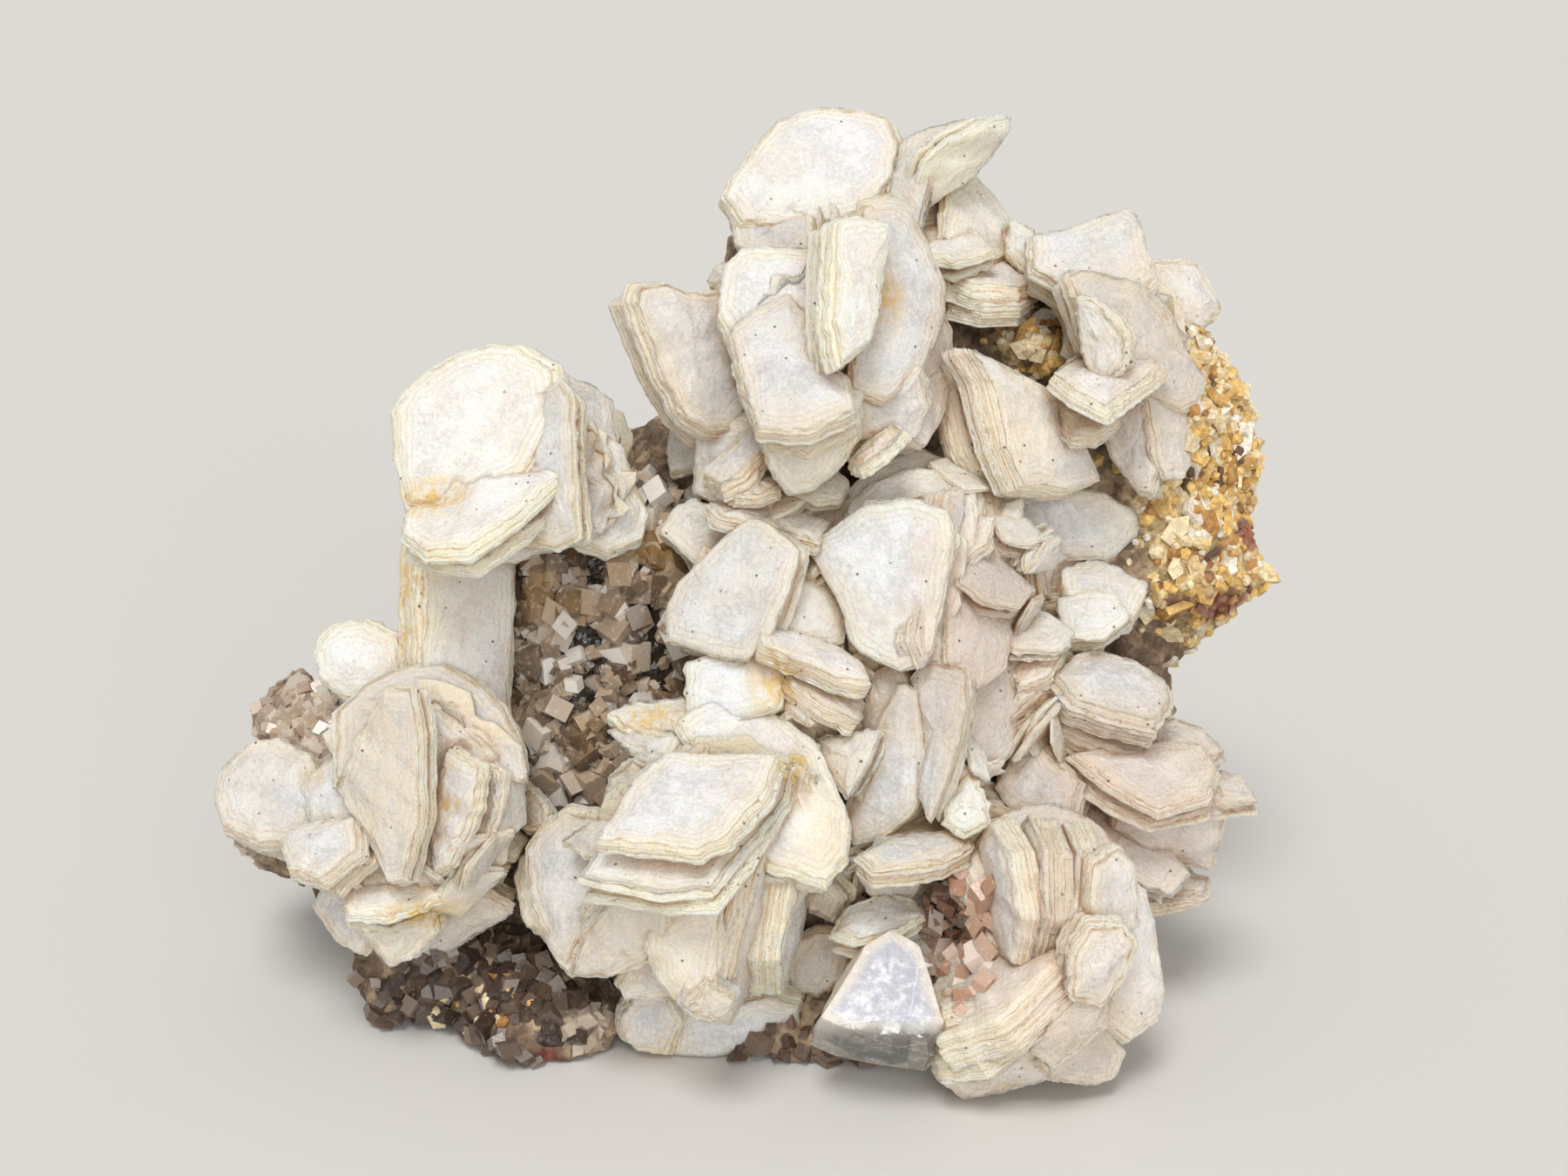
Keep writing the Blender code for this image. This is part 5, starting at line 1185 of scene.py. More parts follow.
@dataclass(frozen=True)
class PlatedCalcite(Finish):
    """Milky calcite: sugary grey-white faces, cream rims, and sides lined between their plates."""

    name: str = "plated_calcite"
    face: Colour = (0.73, 0.72, 0.72)
    milk: Colour = (0.97, 0.96, 0.95)
    rim: Colour = (0.97, 0.88, 0.75)
    side: Colour = (0.97, 0.84, 0.63)
    tan: Colour = (0.88, 0.70, 0.49)
    cream: Colour = (0.94, 0.81, 0.63)
    # Painted highlight colour for the plates' top edges
    brink: Colour = (0.99, 0.94, 0.83)
    blush: Colour = (0.76, 0.60, 0.50)
    stain: Colour = (0.76, 0.52, 0.16)
    line: Colour = (0.13, 0.08, 0.045)
    # Painted warm shade for the crevices, with the stains that gather there
    crevice_shade_and_stain: Colour = (0.93, 0.71, 0.46)
    subsurface: float = 0.75
    depth: float = 0.0019
    roughness: float = 0.26

    def shade(self, bench: Bench) -> bpy.types.Node:
        """Mixes the colours by the crystal's marks, paints a highlight on the plates' top edges and shade in
        the crevices, and lays the grain and plate lines over them.
        """
        plus, times, ramp, over, blend = bench.plus, bench.times, bench.ramp, bench.over, bench.blend
        inset, side, level = bench.mark("inset"), bench.mark("side"), bench.mark("level")
        blotch, grain, streak, mottle, cloud, plume = (bench.noise(*values) for values in (
            (3.0, 5, 0.62), (0.42, 5, 0.75), (1.5, 5, 0.65), (0.75, 4, 0.7), (6.0, 6, 0.6), (2.4, 7, 0.72),
        ))

        body = over(self.face, self.milk, cloud, 0.42, 0.60, 0.9, 0.05)
        body = over(body, self.milk, plume, 0.54, 0.66, 0.8)
        body = over(body, self.milk, mottle, 0.42, 0.60, 0.55)
        body = over(body, self.face, grain, 0.55, 0.42, 0.28)
        body = over(body, self.rim, plus(inset, times(streak, 3.4)), 4.8, 1.2, 0.75)
        lamina = bench.sine(level, 15.0, times(blotch, 14.0))
        sides = over(self.rim, self.side, streak, 0.36, 0.62)
        sides = over(sides, self.milk, cloud, 0.46, 0.64, 0.3)
        sides = over(sides, self.tan, lamina, 0.1, 0.9, 0.2)
        sides = over(sides, self.tan, blotch, 0.5, 0.75, 0.35)
        warm = ramp(bench.noise(11.0, 3, 0.5), 0.42, 0.62, 0.0, 0.3)
        warm = plus(warm, times(bench.mark("warm"), 0.7), clamp=True)
        body = blend(times(warm, ramp(streak, 0.3, 0.6, 0.5, 1.0)), body, self.cream)
        body = over(body, sides, side, 0.2, 0.9)
        # Painted highlight: a bright cream line along each plate's top edge
        body = blend(times(ramp(side, 0.05, 0.35), ramp(side, 0.85, 0.45, 0.0, 0.4)), body, self.brink)
        body = blend(times(bench.mark("blush"), 0.75), body, self.blush)
        body = blend(times(bench.mark("stain"), ramp(streak, 0.35, 0.6)), body, self.stain)
        body = bench.toned(body, bench.mark("tone"), 0.86, 1.04)

        # Painted shade: ambient occlusion finds the crevices, where the colour is darkened and warmed towards
        # tan, for light bounced between the crystals and the stains there.
        open_sky = bench.add("ShaderNodeAmbientOcclusion", {"Distance": 7 * MM}, samples=5).outputs["AO"]
        painted_shade_share = ramp(plus(open_sky, times(streak, 0.3)), 0.85, 0.25, 0.0, 0.75)
        body = blend(painted_shade_share, body, self.crevice_shade_and_stain, "MULTIPLY")
        broken = ramp(bench.noise(2.2, 5, 0.75), 0.50, 0.60, 0.0, 0.72)
        body = blend(times(ramp(bench.mark("crack"), 0.60, 0.95), broken), body, self.line)
        wander = plus(times(blotch, 9.0), times(streak, 4.0))
        hairs = times(ramp(bench.sine(level, 9.0, wander), 0.86, 0.985), ramp(side, 0.5, 0.9))
        here = ramp(bench.noise(1.7, 5, 0.8), 0.46, 0.62, 0.0, 0.55)
        body = blend(times(hairs, here), body, self.line)
        contours = times(ramp(bench.sine(inset, 7.0, wander), 0.7, 0.98), ramp(inset, 4.2, 1.2))
        contours = times(contours, ramp(side, 0.4, 0.1))
        body = blend(times(contours, 0.3), body, self.tan)
        dirty = ramp(bench.noise(6.0, 2, 0.5), 0.48, 0.58, 0.0, 0.85)
        body = blend(times(ramp(bench.cells(2.0), 0.13, 0.07), dirty), body, self.line)

        relief = bench.relief(
            (bench.noise(0.32, 4, 0.75), 0.17, 1.0), (bench.first_of(bench.cells(0.5, "Color")), 0.14, 0.9),
            (plume, 1.1, 0.7), (streak, 0.8, 0.7), (times(lamina, ramp(side, 0.4, 0.9)), 0.05, 0.8),
            (plus(hairs, contours), -0.12, 1.0),
        )
        gloss = ramp(grain, 0.35, 0.7, self.roughness - 0.10, self.roughness + 0.20)
        return bench.surface(body, gloss, relief, (self.subsurface, (1.0, 0.74, 0.52), self.depth), IOR=1.58)


@dataclass(frozen=True)
class ClearCalcite(PlatedCalcite):
    """Clear calcite: a frosted upper face over a body that can be seen into."""

    name: str = "clear_calcite"
    body: Colour = (0.86, 0.83, 0.78)
    frosting: Colour = (0.60, 0.61, 0.70)

    def shade(self, bench: Bench) -> bpy.types.Node:
        """Lets light through, with veils and a frosted grain."""
        plus, times, ramp, over = bench.plus, bench.times, bench.ramp, bench.over
        veil, grain, frost = bench.noise(1.6, 5, 0.7), bench.noise(0.7, 4, 0.7), bench.mark("frost")
        colour = over(self.body, (0.95, 0.94, 0.93), veil, 0.35, 0.7)
        frosting = over(self.frosting, (0.90, 0.90, 0.93), veil, 0.42, 0.66)
        frosting = over(frosting, self.rim, plus(bench.mark("inset"), times(grain, 2.0)), 3.4, 1.6, 0.85)
        gloss = plus(times(frost, 0.3), ramp(veil, 0.45, 0.65, 0.03, 0.12))
        long_cells = bench.add("ShaderNodeMapping", {"Vector": bench.at, "Scale": (0.6, 0.6, 1.8)}).outputs[0]
        flaw = ramp(bench.cells(9.0, feature="DISTANCE_TO_EDGE", at=long_cells), 0.008, 0.0)
        height = bench.blend(frost, times(flaw, 0.2), grain)
        veiled = plus(ramp(veil, 0.5, 0.66, 0.08, 0.22), times(flaw, 0.4))
        clear = bench.maths("SUBTRACT", 0.98, plus(times(frost, 0.6), veiled), clamp=True)
        return bench.surface(
            bench.blend(frost, colour, frosting), gloss, bench.relief((height, 0.25, 0.7)),
            (0.5, (1.0, 0.97, 0.92), 0.004), IOR=1.6, Transmission_Weight=clear,
        )


@dataclass(frozen=True)
class SmokyDruse(Finish):
    """Small brown-grey rhombs, each a little different, glassy on their faces."""

    name: str = "brown_druse"
    dark: Colour = (0.13, 0.085, 0.055)
    smoke: Colour = (0.58, 0.44, 0.31)
    # Painted highlight colour: the palest crystals and some patches are painted with it as glints
    painted_glint: Colour = (0.90, 0.84, 0.76)
    amber: Colour = (0.66, 0.42, 0.18)
    # Painted shade: the near-black of the bed that shows in the gaps between the rhombs
    hollow: Colour = (0.035, 0.025, 0.018)

    def shade(self, bench: Bench) -> bpy.types.Node:
        """Gives each crystal its own colour from brown to smoke, paints the palest crystals and some patches
        as glints, lays amber where it is marked, and paints the bed near-black as shade.
        """
        own, veil = bench.own(), bench.noise(0.8, 4, 0.65)
        colour = bench.over(self.dark, self.smoke, own, 0.1, 0.6)
        # Painted highlight: the palest crystals are painted as glints off their faces
        colour = bench.over(colour, self.painted_glint, own, 0.68, 0.95)
        gold = bench.ramp(bench.noise(9.0, 3, 0.5), 0.5, 0.7, 0.0, 0.35)
        colour = bench.blend(bench.plus(gold, bench.mark("amber"), clamp=True), colour, self.amber)
        # Painted highlight: pale patches painted as glints
        colour = bench.over(colour, self.painted_glint, veil, 0.5, 0.75, 0.5)
        # Painted shade: the bed, marked deep, is painted near-black where it shows between the rhombs
        colour = bench.blend(bench.mark("deep"), colour, self.hollow)
        gloss, glow = bench.ramp(veil, 0.3, 0.7, 0.08, 0.30), (0.2, (1.0, 0.7, 0.5), 0.0015)
        relief = bench.relief((bench.noise(0.5, 3, 0.6), 0.05, 0.5))
        return bench.surface(colour, gloss, relief, glow, IOR=1.6, Transmission_Weight=0.25)


@dataclass(frozen=True)
class IronRock(Finish):
    """Earthy rock: brown, with ochre, maroon and near-black patches where it is marked."""

    name: str = "iron_rock"
    brown: Colour = (0.20, 0.13, 0.08)
    tan: Colour = (0.42, 0.31, 0.20)
    sand: Colour = (0.60, 0.48, 0.37)
    ochre: Colour = (0.66, 0.44, 0.16)
    straw: Colour = (0.76, 0.64, 0.42)
    maroon: Colour = (0.22, 0.06, 0.045)
    dark: Colour = (0.05, 0.04, 0.045)

    def shade(self, bench: Bench) -> bpy.types.Node:
        """Mixes the rock's earths by its marks, with grains and pits."""
        broad, fine, grains = bench.noise(7.0, 5, 0.6), bench.noise(1.1, 5, 0.7), bench.cells(0.9)
        colour = bench.over(self.brown, self.tan, broad, 0.42, 0.62)
        colour = bench.blend(bench.mark("sandy"), colour, self.sand)
        iron = bench.over(self.ochre, self.straw, fine, 0.4, 0.65)
        iron = bench.over(iron, self.brown, broad, 0.58, 0.72, 0.8)
        for mark, patches, share, low, high, earth in (
            ("ochre", fine, 0.5, 0.45, 0.75, iron), ("maroon", fine, 0.6, 0.6, 0.9, self.maroon),
            ("dark", broad, 0.6, 0.6, 0.95, self.dark),
        ):
            here = bench.plus(bench.mark(mark), bench.times(patches, share))
            colour = bench.over(colour, earth, here, low, high)
        colour = bench.over(colour, self.dark, grains, 0.1, 0.7, 0.0, 0.35)
        colour = bench.toned(colour, bench.first_of(bench.cells(1.3, "Color")), 0.6, 1.25)
        relief = bench.relief((bench.noise(0.6, 5, 0.75), 0.35, 0.8), (grains, 0.25, 0.6))
        return bench.surface(colour, bench.ramp(fine, 0.3, 0.7, 0.55, 0.95), relief)


@dataclass(frozen=True)
class EarthGrains(Finish):
    """Loose-looking grains and flakes, each of one earth."""

    name: str = "earth_grains"
    deep: Colour = (0.10, 0.055, 0.03)
    rust: Colour = (0.50, 0.25, 0.07)
    ochre: Colour = (0.80, 0.52, 0.17)
    straw: Colour = (0.86, 0.72, 0.46)
    pale: Colour = (0.86, 0.80, 0.68)
    maroon: Colour = (0.26, 0.06, 0.045)

    def shade(self, bench: Bench) -> bpy.types.Node:
        """Picks each grain's earth, and turns it maroon where the rock is."""
        own, fine = bench.own(), bench.noise(0.7, 4, 0.7)
        pick = bench.plus(bench.times(own, 0.7), bench.times(bench.noise(6.0, 3, 0.5), 0.5))
        colour = bench.over(self.deep, self.rust, pick, 0.22, 0.32)
        colour = bench.over(colour, self.ochre, pick, 0.34, 0.44)
        colour = bench.over(colour, self.straw, pick, 0.55, 0.68)
        colour = bench.over(colour, self.pale, pick, 0.80, 0.90)
        red = bench.plus(bench.mark("maroon"), bench.times(own, 0.5))
        colour = bench.over(colour, self.maroon, red, 0.5, 0.8, 0.85)
        colour = bench.over(colour, self.deep, fine, 0.42, 0.62, 0.0, 0.35)
        gloss, glow = bench.ramp(fine, 0.3, 0.7, 0.35, 0.8), (0.15, (1.0, 0.6, 0.35), 0.001)
        return bench.surface(colour, gloss, bench.relief((bench.noise(0.5, 4, 0.7), 0.15, 0.8)), glow)


class GrainShape(Enum):
    """What a scatter sets on a surface."""

    RHOMB = "rhomb"
    GRAIN = "grain"
    FLAKE = "flake"


@dataclass(frozen=True)
class Scatter:
    """Sets small crystals or grains on a surface with Geometry Nodes. Sizes are millimetres."""

    shape: GrainShape
    spacing: float
    smallest: float
    largest: float
    seed: int
    tilt: float = 0.7
    density: float = 1.0e6
    squat: float = 0.72

    def seed_crystal(self, bench: Bench) -> Socket:
        """Makes the one crystal or grain that is repeated, a millimetre across.

        Args:
            bench: The tree that it is made in.

        Returns:
            Its geometry.
        """
        on_corner, radius = math.atan(math.sqrt(2)), 0.5 * MM
        kind, values, moves = {
            GrainShape.GRAIN: ("IcoSphere", {"Radius": radius, "Subdivisions": 1}, ()),
            GrainShape.FLAKE: ("Cylinder", {"Vertices": 5, "Radius": radius, "Depth": 0.22 * MM}, (
                {"Scale": (1.3, 0.8, 1.0)},
            )),
            GrainShape.RHOMB: ("Cube", {"Size": (MM, MM, MM)}, (
                {"Rotation": (0.0, 0.0, math.radians(45))}, {"Rotation": (on_corner, 0.0, 0.0)},
                {"Scale": (1.0, 1.0, self.squat)},
            )),
        }[self.shape]
        solid = bench.add(f"GeometryNodeMesh{kind}", values).outputs["Mesh"]
        for move in moves:
            solid = bench.add("GeometryNodeTransform", {"Geometry": solid, **move}).outputs[0]
        return solid

    def tree(self, inputs: dict[str, object]) -> tuple[bpy.types.NodeTree, dict[str, object]]:
        """Builds the tree.

        Args:
            inputs: The value of each of its inputs by name.

        Returns:
            The tree, and the same values by the identifiers of the inputs.
        """
        tree = bpy.data.node_groups.new(f"scatter_{self.shape.value}", "GeometryNodeTree")
        bench = Bench(tree)
        kinds = {"Seed": "NodeSocketInt", "Finish": "NodeSocketMaterial"}
        tree.interface.new_socket("Bed", in_out="INPUT", socket_type="NodeSocketGeometry")
        values = {
            tree.interface.new_socket(
                name, in_out="INPUT", socket_type=kinds.get(name, "NodeSocketFloat"),
            ).identifier: value
            for name, value in inputs.items()
        }
        tree.interface.new_socket("Grains", in_out="OUTPUT", socket_type="NodeSocketGeometry")
        given = bench.add("NodeGroupInput").outputs
        cover = bench.add("GeometryNodeInputNamedAttribute", {"Name": "cover"}, data_type="FLOAT")
        spots = bench.add("GeometryNodeDistributePointsOnFaces", {
            "Mesh": given["Bed"], "Distance Min": given["Spacing"], "Density Max": given["Density"],
            "Density Factor": cover.outputs["Attribute"], "Seed": given["Seed"],
        }, distribute_method="POISSON")

        def drawn(kind: str, low: object, high: object) -> bpy.types.Node:
            """Draws a value for each grain."""
            names = ("Min", "Max") if kind == "FLOAT_VECTOR" else (2, 3)
            values = {names[0]: low, names[1]: high, "Seed": given["Seed"]}
            return bench.add("FunctionNodeRandomValue", values, data_type=kind)

        spin = drawn("FLOAT_VECTOR", (0.0, 0.0, 0.0), (1.0, 1.0, 6.28))
        wild = bench.add("ShaderNodeVectorMath", {0: spin, 1: (0.5, 0.5, 0.0)}, operation="SUBTRACT")
        lean = bench.add("ShaderNodeCombineXYZ", {0: given["Tilt"], 1: given["Tilt"], 2: 1.0})
        turn = bench.add("ShaderNodeVectorMath", {0: wild, 1: lean}, operation="MULTIPLY")
        rotation = bench.add("FunctionNodeRotateRotation", {
            "Rotation": spots.outputs["Rotation"],
            "Rotate By": bench.add("FunctionNodeEulerToRotation", {0: turn}),
        }, rotation_space="LOCAL")
        size = drawn("FLOAT", given["Smallest"], given["Largest"]).outputs[1]
        shape = drawn("FLOAT_VECTOR", (0.75, 0.75, 0.75), (1.25, 1.25, 1.25))
        scale = bench.add("ShaderNodeVectorMath", {0: shape, 3: size}, operation="SCALE")
        placed = bench.add("GeometryNodeInstanceOnPoints", {
            "Points": spots.outputs["Points"], "Instance": self.seed_crystal(bench), "Rotation": rotation,
            "Scale": scale,
        })
        plain = bench.add("GeometryNodeRealizeInstances", {0: placed})
        dressed = bench.add("GeometryNodeSetMaterial", {"Geometry": plain, "Material": given["Finish"]})
        bench.add("NodeGroupOutput", {0: dressed})
        return tree, values

    def sow(self, bed: Piece, finish: Finish) -> MeshData:
        """Sets the grains on a bed whose mark cover says where they stand.

        Args:
            bed: The surface.
            finish: What the grains are made of.

        Returns:
            The grains as one plain mesh.
        """
        tree, values = self.tree({
            "Spacing": self.spacing * MM, "Density": self.density, "Smallest": self.smallest,
            "Largest": self.largest, "Tilt": self.tilt, "Seed": self.seed, "Finish": finish.material(),
        })
        modifier = bed.modifiers.new("scatter", "NODES")
        modifier.node_group = tree
        for identifier, value in values.items():
            modifier[identifier] = value
        mesh = evaluated(bed)
        bed.modifiers.clear()
        bpy.data.node_groups.remove(tree)
        return mesh


def merged(mesh: MeshData) -> MeshData:
    """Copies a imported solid's loose triangles into one closed surface."""
    copy = mesh.copy()
    shape = bmesh.new()
    shape.from_mesh(copy)
    bmesh.ops.remove_doubles(shape, verts=shape.verts, dist=1e-7)
    shape.to_mesh(copy)
    shape.free()
    return copy


def remeshed(name: str, mesh: MeshData, voxel: float) -> Piece:
    """Makes an object with an even mesh of a closed surface.

    Args:
        name: The object's name.
        mesh: The closed surface.
        voxel: The size of its faces, in millimetres.

    Returns:
        The object.
    """
    piece = link(name, mesh)
    modifier = piece.modifiers.new("even", "REMESH")
    modifier.mode = "VOXEL"
    modifier.voxel_size = voxel * MM
    even = evaluated(piece)
    piece.modifiers.clear()
    piece.data = even
    even.materials.clear()
    return piece


def joined(name: str, pieces: Sequence[Piece]) -> Piece:
    """Puts several surfaces into one object, with their own materials."""
    with bpy.context.temp_override(active_object=pieces[0], selected_editable_objects=list(pieces)):
        bpy.ops.object.join()
    pieces[0].name = name
    pieces[0].data.name = name
    return pieces[0]


STAINS = zones(
    (-49, 13, 17, 7, 4, 9), (-46, 5, 16, 6, 3, 9, 0.8), (14.5, 40, 15, 3, 4, 7, 0.8),
    (-1, -13, 17, 5, 6, 8, 0.8), (-18, -18, 14, 7, 3, 8, 0.8), (2, -25, 24, 3.5, 6, 9, 0.9),
    (-66, -26, 12, 3, 3, 7, 0.8), (-51, 0, 3, 3.5, 16, 8, 0.7), (-46, -30, 17, 2, 2, 6, 1.0),
    (-50, -45, 14, 8, 2.5, 8, 0.9),
)
WARMS = zones(
    (-55, -27, 18, 8, 16, 12), (-50, 0, 3, 14, 16, 9, 0.8), (-14, -50, 25, 18, 12, 14, 0.9),
    (6, -34, 20, 8, 16, 14, 0.7), (34, -60, 20, 20, 12, 14, 0.8), (24, 57, -2, 12, 12, 10, 0.8),
    (12, 42, 18, 6, 14, 9, 0.7), (3, 18, 18, 10, 9, 10, 0.6), (-16, 30, 6, 6, 14, 10, 0.6),
    (32, 22, 8, 8, 12, 14, 0.7), (50, 35, 4, 14, 18, 14, 0.5), (-44, -46, 12, 18, 9, 12, 0.7),
    (-38, 24, 8, 18, 12, 14, 0.3),
)
BLUSHES = zones(
    (26, -8, 12, 14, 22, 18, 0.8), (48, -30, 5, 22, 18, 18, 0.7), (40, -55, 20, 18, 22, 18, 0.45),
    (50, 28, 2, 16, 22, 18, 0.35), (22, 30, 8, 6, 18, 12, 0.5),
)
CRYSTAL_ZONES = {"stain": STAINS, "blush": BLUSHES, "warm": WARMS}


@dataclass
class CrystalGroup:
    """Crystals grown together: hearts, the tablets and books on them, and small plates between."""

    node: str
    clusters: tuple[Cluster, ...]
    slot: str = "white_calcite"
    finish: Finish = field(default_factory=PlatedCalcite)
    seed: int = 1
    small: float = 0.12
    fill: float = 1.0
    leaves: int = 2
    fan: float = 0.05
    reach: float = 1.0
    thinnest: float = 1.6
    edge: float = 24.0
    growth: PlateGrowth = TABLET_GROWTH
    sharpness: tuple[float, float] = (0.14, 1.5)

    def crystals(self) -> list[Shell]:
        """Grows every crystal of the group."""
        shells: list[Shell] = []
        for number, (heart, crystals) in enumerate(self.clusters):
            draw = np.random.default_rng((self.seed, number))
            for crystal in crystals:
                outline, normal = SIGHT.outline(crystal)
                outline = sharpened(outline, *self.sharpness)
                tone = draw.uniform()
                if isinstance(crystal, Book):
                    shells.append(BOOK_GROWTH.grow(outline, normal, crystal.thick, draw, tone))
                    continue
                centre = outline.mean(axis=0)
                outline = centre + (outline - centre) * self.reach
                shells += self.tablet(outline, normal, crystal.thick, self.leaves if heart else 1, draw, tone)
                if heart:
                    back = crystal.depth - crystal.thick
                    shells.append(ROOT_GROWTH.root(outline, normal, crystal.thick, heart, back, draw, tone))
            if heart:
                shells.append(self.heart(heart, draw))
                shells += self.small_plates(heart, draw)
        return shells

    def tablet(self, outline: Array, normal: Array, thick: float, leaves: int,
               draw: Draw, tone: float) -> list[Shell]:
        """Grows a tablet as thin ones that lie behind each other, nearly parallel.

        Args:
            outline: The front face's corners, in the sketch frame.
            normal: The front face's normal.
            thick: The thickness of them all.
            leaves: How many there are, where the tablet is thick enough.
            draw: Where the random numbers come from.
            tone: The tablet's shade.

        Returns:
            The thin tablets, from the front one back.
        """
        leaves = leaves if thick > self.thinnest * leaves else 1
        each = thick / leaves
        middle = outline.mean(axis=0)
        shells = [self.growth.grow(outline, normal, each * (LEAF_SHARE if leaves > 1 else 1), draw, tone)]
        behind = replace(self.growth, insets=(0.3, 1.0), shares=(0.6,))
        for leaf in range(1, leaves):
            tilted = normal + draw.normal(size=3) * self.fan
            tilted /= np.linalg.norm(tilted)
            widths = draw.uniform(0.95 - self.fan, 1.02 + self.fan, len(outline))
            face = middle + (outline - middle) * widths[:, None]
            face -= np.outer((face - middle) @ tilted, tilted) + normal * each * leaf
            shade = min(max(tone + draw.normal() * 0.3, 0), 1)
            shells.append(behind.grow(face, tilted, each * LEAF_SHARE, draw, shade))
        return shells

    def heart(self, heart: Heart, draw: Draw) -> Shell:
        """Grows the intergrown middle of a cluster."""
        front = heart.front + self.fill
        corners = np.array([SIGHT.on_line(corner, front) for corner in heart.corners])
        middle = corners.mean(axis=0)
        corners = middle + (corners - middle) * HEART_SHARE
        return HEART_GROWTH.grow(corners, TOWARDS_EYE, front - heart.back, draw, 0.3)

    def covered(self, spot: Array) -> bool:
        """Tells whether a sketch point lies behind the face of one of the group's crystals.

        Args:
            spot: The point, across and up.

        Returns:
            Whether a crystal hides it.
        """
        for crystal in (crystal for _, crystals in self.clusters for crystal in crystals):
            if isinstance(crystal, Book):
                if math.dist(spot, crystal.centre) < 0.7 * crystal.half_length:
                    return True
                continue
            inside = False
            for one, other in zip(crystal.corners, crystal.corners[1:] + crystal.corners[:1]):
                if (one[1] > spot[1]) != (other[1] > spot[1]):
                    share = (spot[1] - one[1]) / (other[1] - one[1])
                    inside ^= bool(spot[0] < one[0] + share * (other[0] - one[0]))
            if inside:
                return True
        return False

    def small_plates(self, heart: Heart, draw: Draw) -> list[Shell]:
        """Grows fans of small tablets where a heart shows between its crystals.

        Args:
            heart: The heart.
            draw: Where the random numbers come from.

        Returns:
            The small tablets.
        """
        corners = np.array(heart.corners, float)
        middle = corners.mean(axis=0)
        after = np.roll(corners, -1, axis=0)
        shells = []
        for _ in range(int(abs(signed_area(corners)) * self.small)):
            side = draw.integers(len(corners))
            edge = corners[side] + (after[side] - corners[side]) * draw.uniform()
            spot = middle + (edge - middle) * math.sqrt(draw.uniform(0.05, 1.1))
            if self.covered(spot) or marked_at(KEPT_CLEAR, spot):
                continue
            depth = heart.front + self.fill - 1 + draw.uniform(-2.0, 1.8)
            clock = math.atan2(*(spot - middle)[::-1]) + draw.normal() * 0.5
            lean = math.radians(draw.uniform(15, 75))
            size = draw.uniform(2.8, 6.2)
            stretch = draw.uniform(0.5, 0.85)
            sides = int(draw.integers(4, 7))
            turns = 2 * math.pi * (np.arange(sides) + draw.uniform(-0.28, 0.28, sides)) / sides
            for leaf in range(draw.integers(1, 5)):
                normal = facing(lean + leaf * draw.uniform(-0.05, 0.12), clock)
                first = np.cross(normal, (0.2, 0.1, 1.0))
                first /= np.linalg.norm(first)
                reach = size * draw.uniform(0.85, 1.12, sides)
                thick = draw.uniform(0.7, 1.4)
                outline = SIGHT.on_line(spot, depth) + normal * leaf * draw.uniform(1.0, 1.7)
                outline = outline + np.outer(np.cos(turns) * reach, first)
                outline += np.outer(np.sin(turns) * reach * stretch, np.cross(normal, first))
                shells.append(SMALL_GROWTH.grow(outline, normal, thick, draw, draw.uniform()))
        return shells

    def build(self) -> Piece:
        """Joins the group's crystals into one piece and dresses it."""
        solids = [shell.build(f"{self.node}_{n}") for n, shell in enumerate(self.crystals())]
        piece = united(f"{self.node}_crystals", solids)
        mark_zones(piece.data, CRYSTAL_ZONES)
        dress(piece.data, self.finish, self.edge)
        settle(piece, self.slot, [self.node])
        return piece


@dataclass
class ClearBlock(CrystalGroup):
    """The clear crystal at the foot: frosted on its upper face, clear below."""

    frosted_above: float = -62.0

    def build(self) -> Piece:
        """Builds the block and marks where it is frosted."""
        piece = super().build()
        seen = SIGHT.seen(points_of(piece.data))
        set_mark(piece.data, "frost", np.clip((seen[:, 1] - self.frosted_above) / 2.5, 0, 1))
        return piece


# Bare patches of the druse bed, where its painted shade shows as dark holes
HOLES = tuple(
    Zone((across, up, -6), (4.6, 4.6, 18))
    for across, up in ((-26.5, 2.5), (-19, -4), (-28, -6.5), (-27, -14), (-18.5, -8), (-19.5, -12))
)
AMBERS = zones(
    (-17.5, 6, -4, 6, 4, 12), (-34, -1, -4, 4, 5, 12, 0.6), (-16, -20, -4, 4, 6, 12, 0.5),
)
KEPT_CLEAR = zones(
    (25, -44, 0, 6.5, 8, 1), (23, -54, 0, 6, 7, 1), (-26, -8, 0, 12, 20, 1),
)
FOOT_DRUSE = zones(
    (-42, -56, 2, 22, 16, 22), (-72, -46, -2, 14, 8, 18, 0.7), (4, -63, 2, 24, 12, 22, 0.7),
)
SANDY_DRUSE = zones(
    (-66, -19, -3, 12, 9, 16), (-78, -35, -2, 8, 9, 18), (-27, -61, 4, 6, 5, 12, 0.7),
    (20, -45, 4, 8, 7, 16),
)
POCKET_EDGE = zones(
    (25, -50, 14, 5, 12, 16), (27.5, -44, 14, 3, 6, 14),
)
ROCK_ZONES = {
    "ochre": zones(
        (60, 16, -12, 18, 32, 26), (36, 34, -10, 9, 6, 14), (37, 8, -6, 4, 4, 10),
        (-42, -58, 2, 10, 5, 10, 0.35),
    ),
    "sandy": SANDY_DRUSE,
    "maroon": zones(
        (57, -1, -10, 9, 5, 14), (63, 7, -10, 4, 4, 10), (-33, -66, 4, 5, 4, 10, 0.9),
        (8, -67, 2, 16, 5, 14, 0.7),
    ),
    "dark": zones(
        (61, 37, -8, 5, 4, 8), (-42, -64, 2, 16, 8, 16, 0.7), (10, -66, 0, 18, 6, 16, 0.5),
        (-26, 0, -14, 12, 14, 12, 0.6),
    ),
}


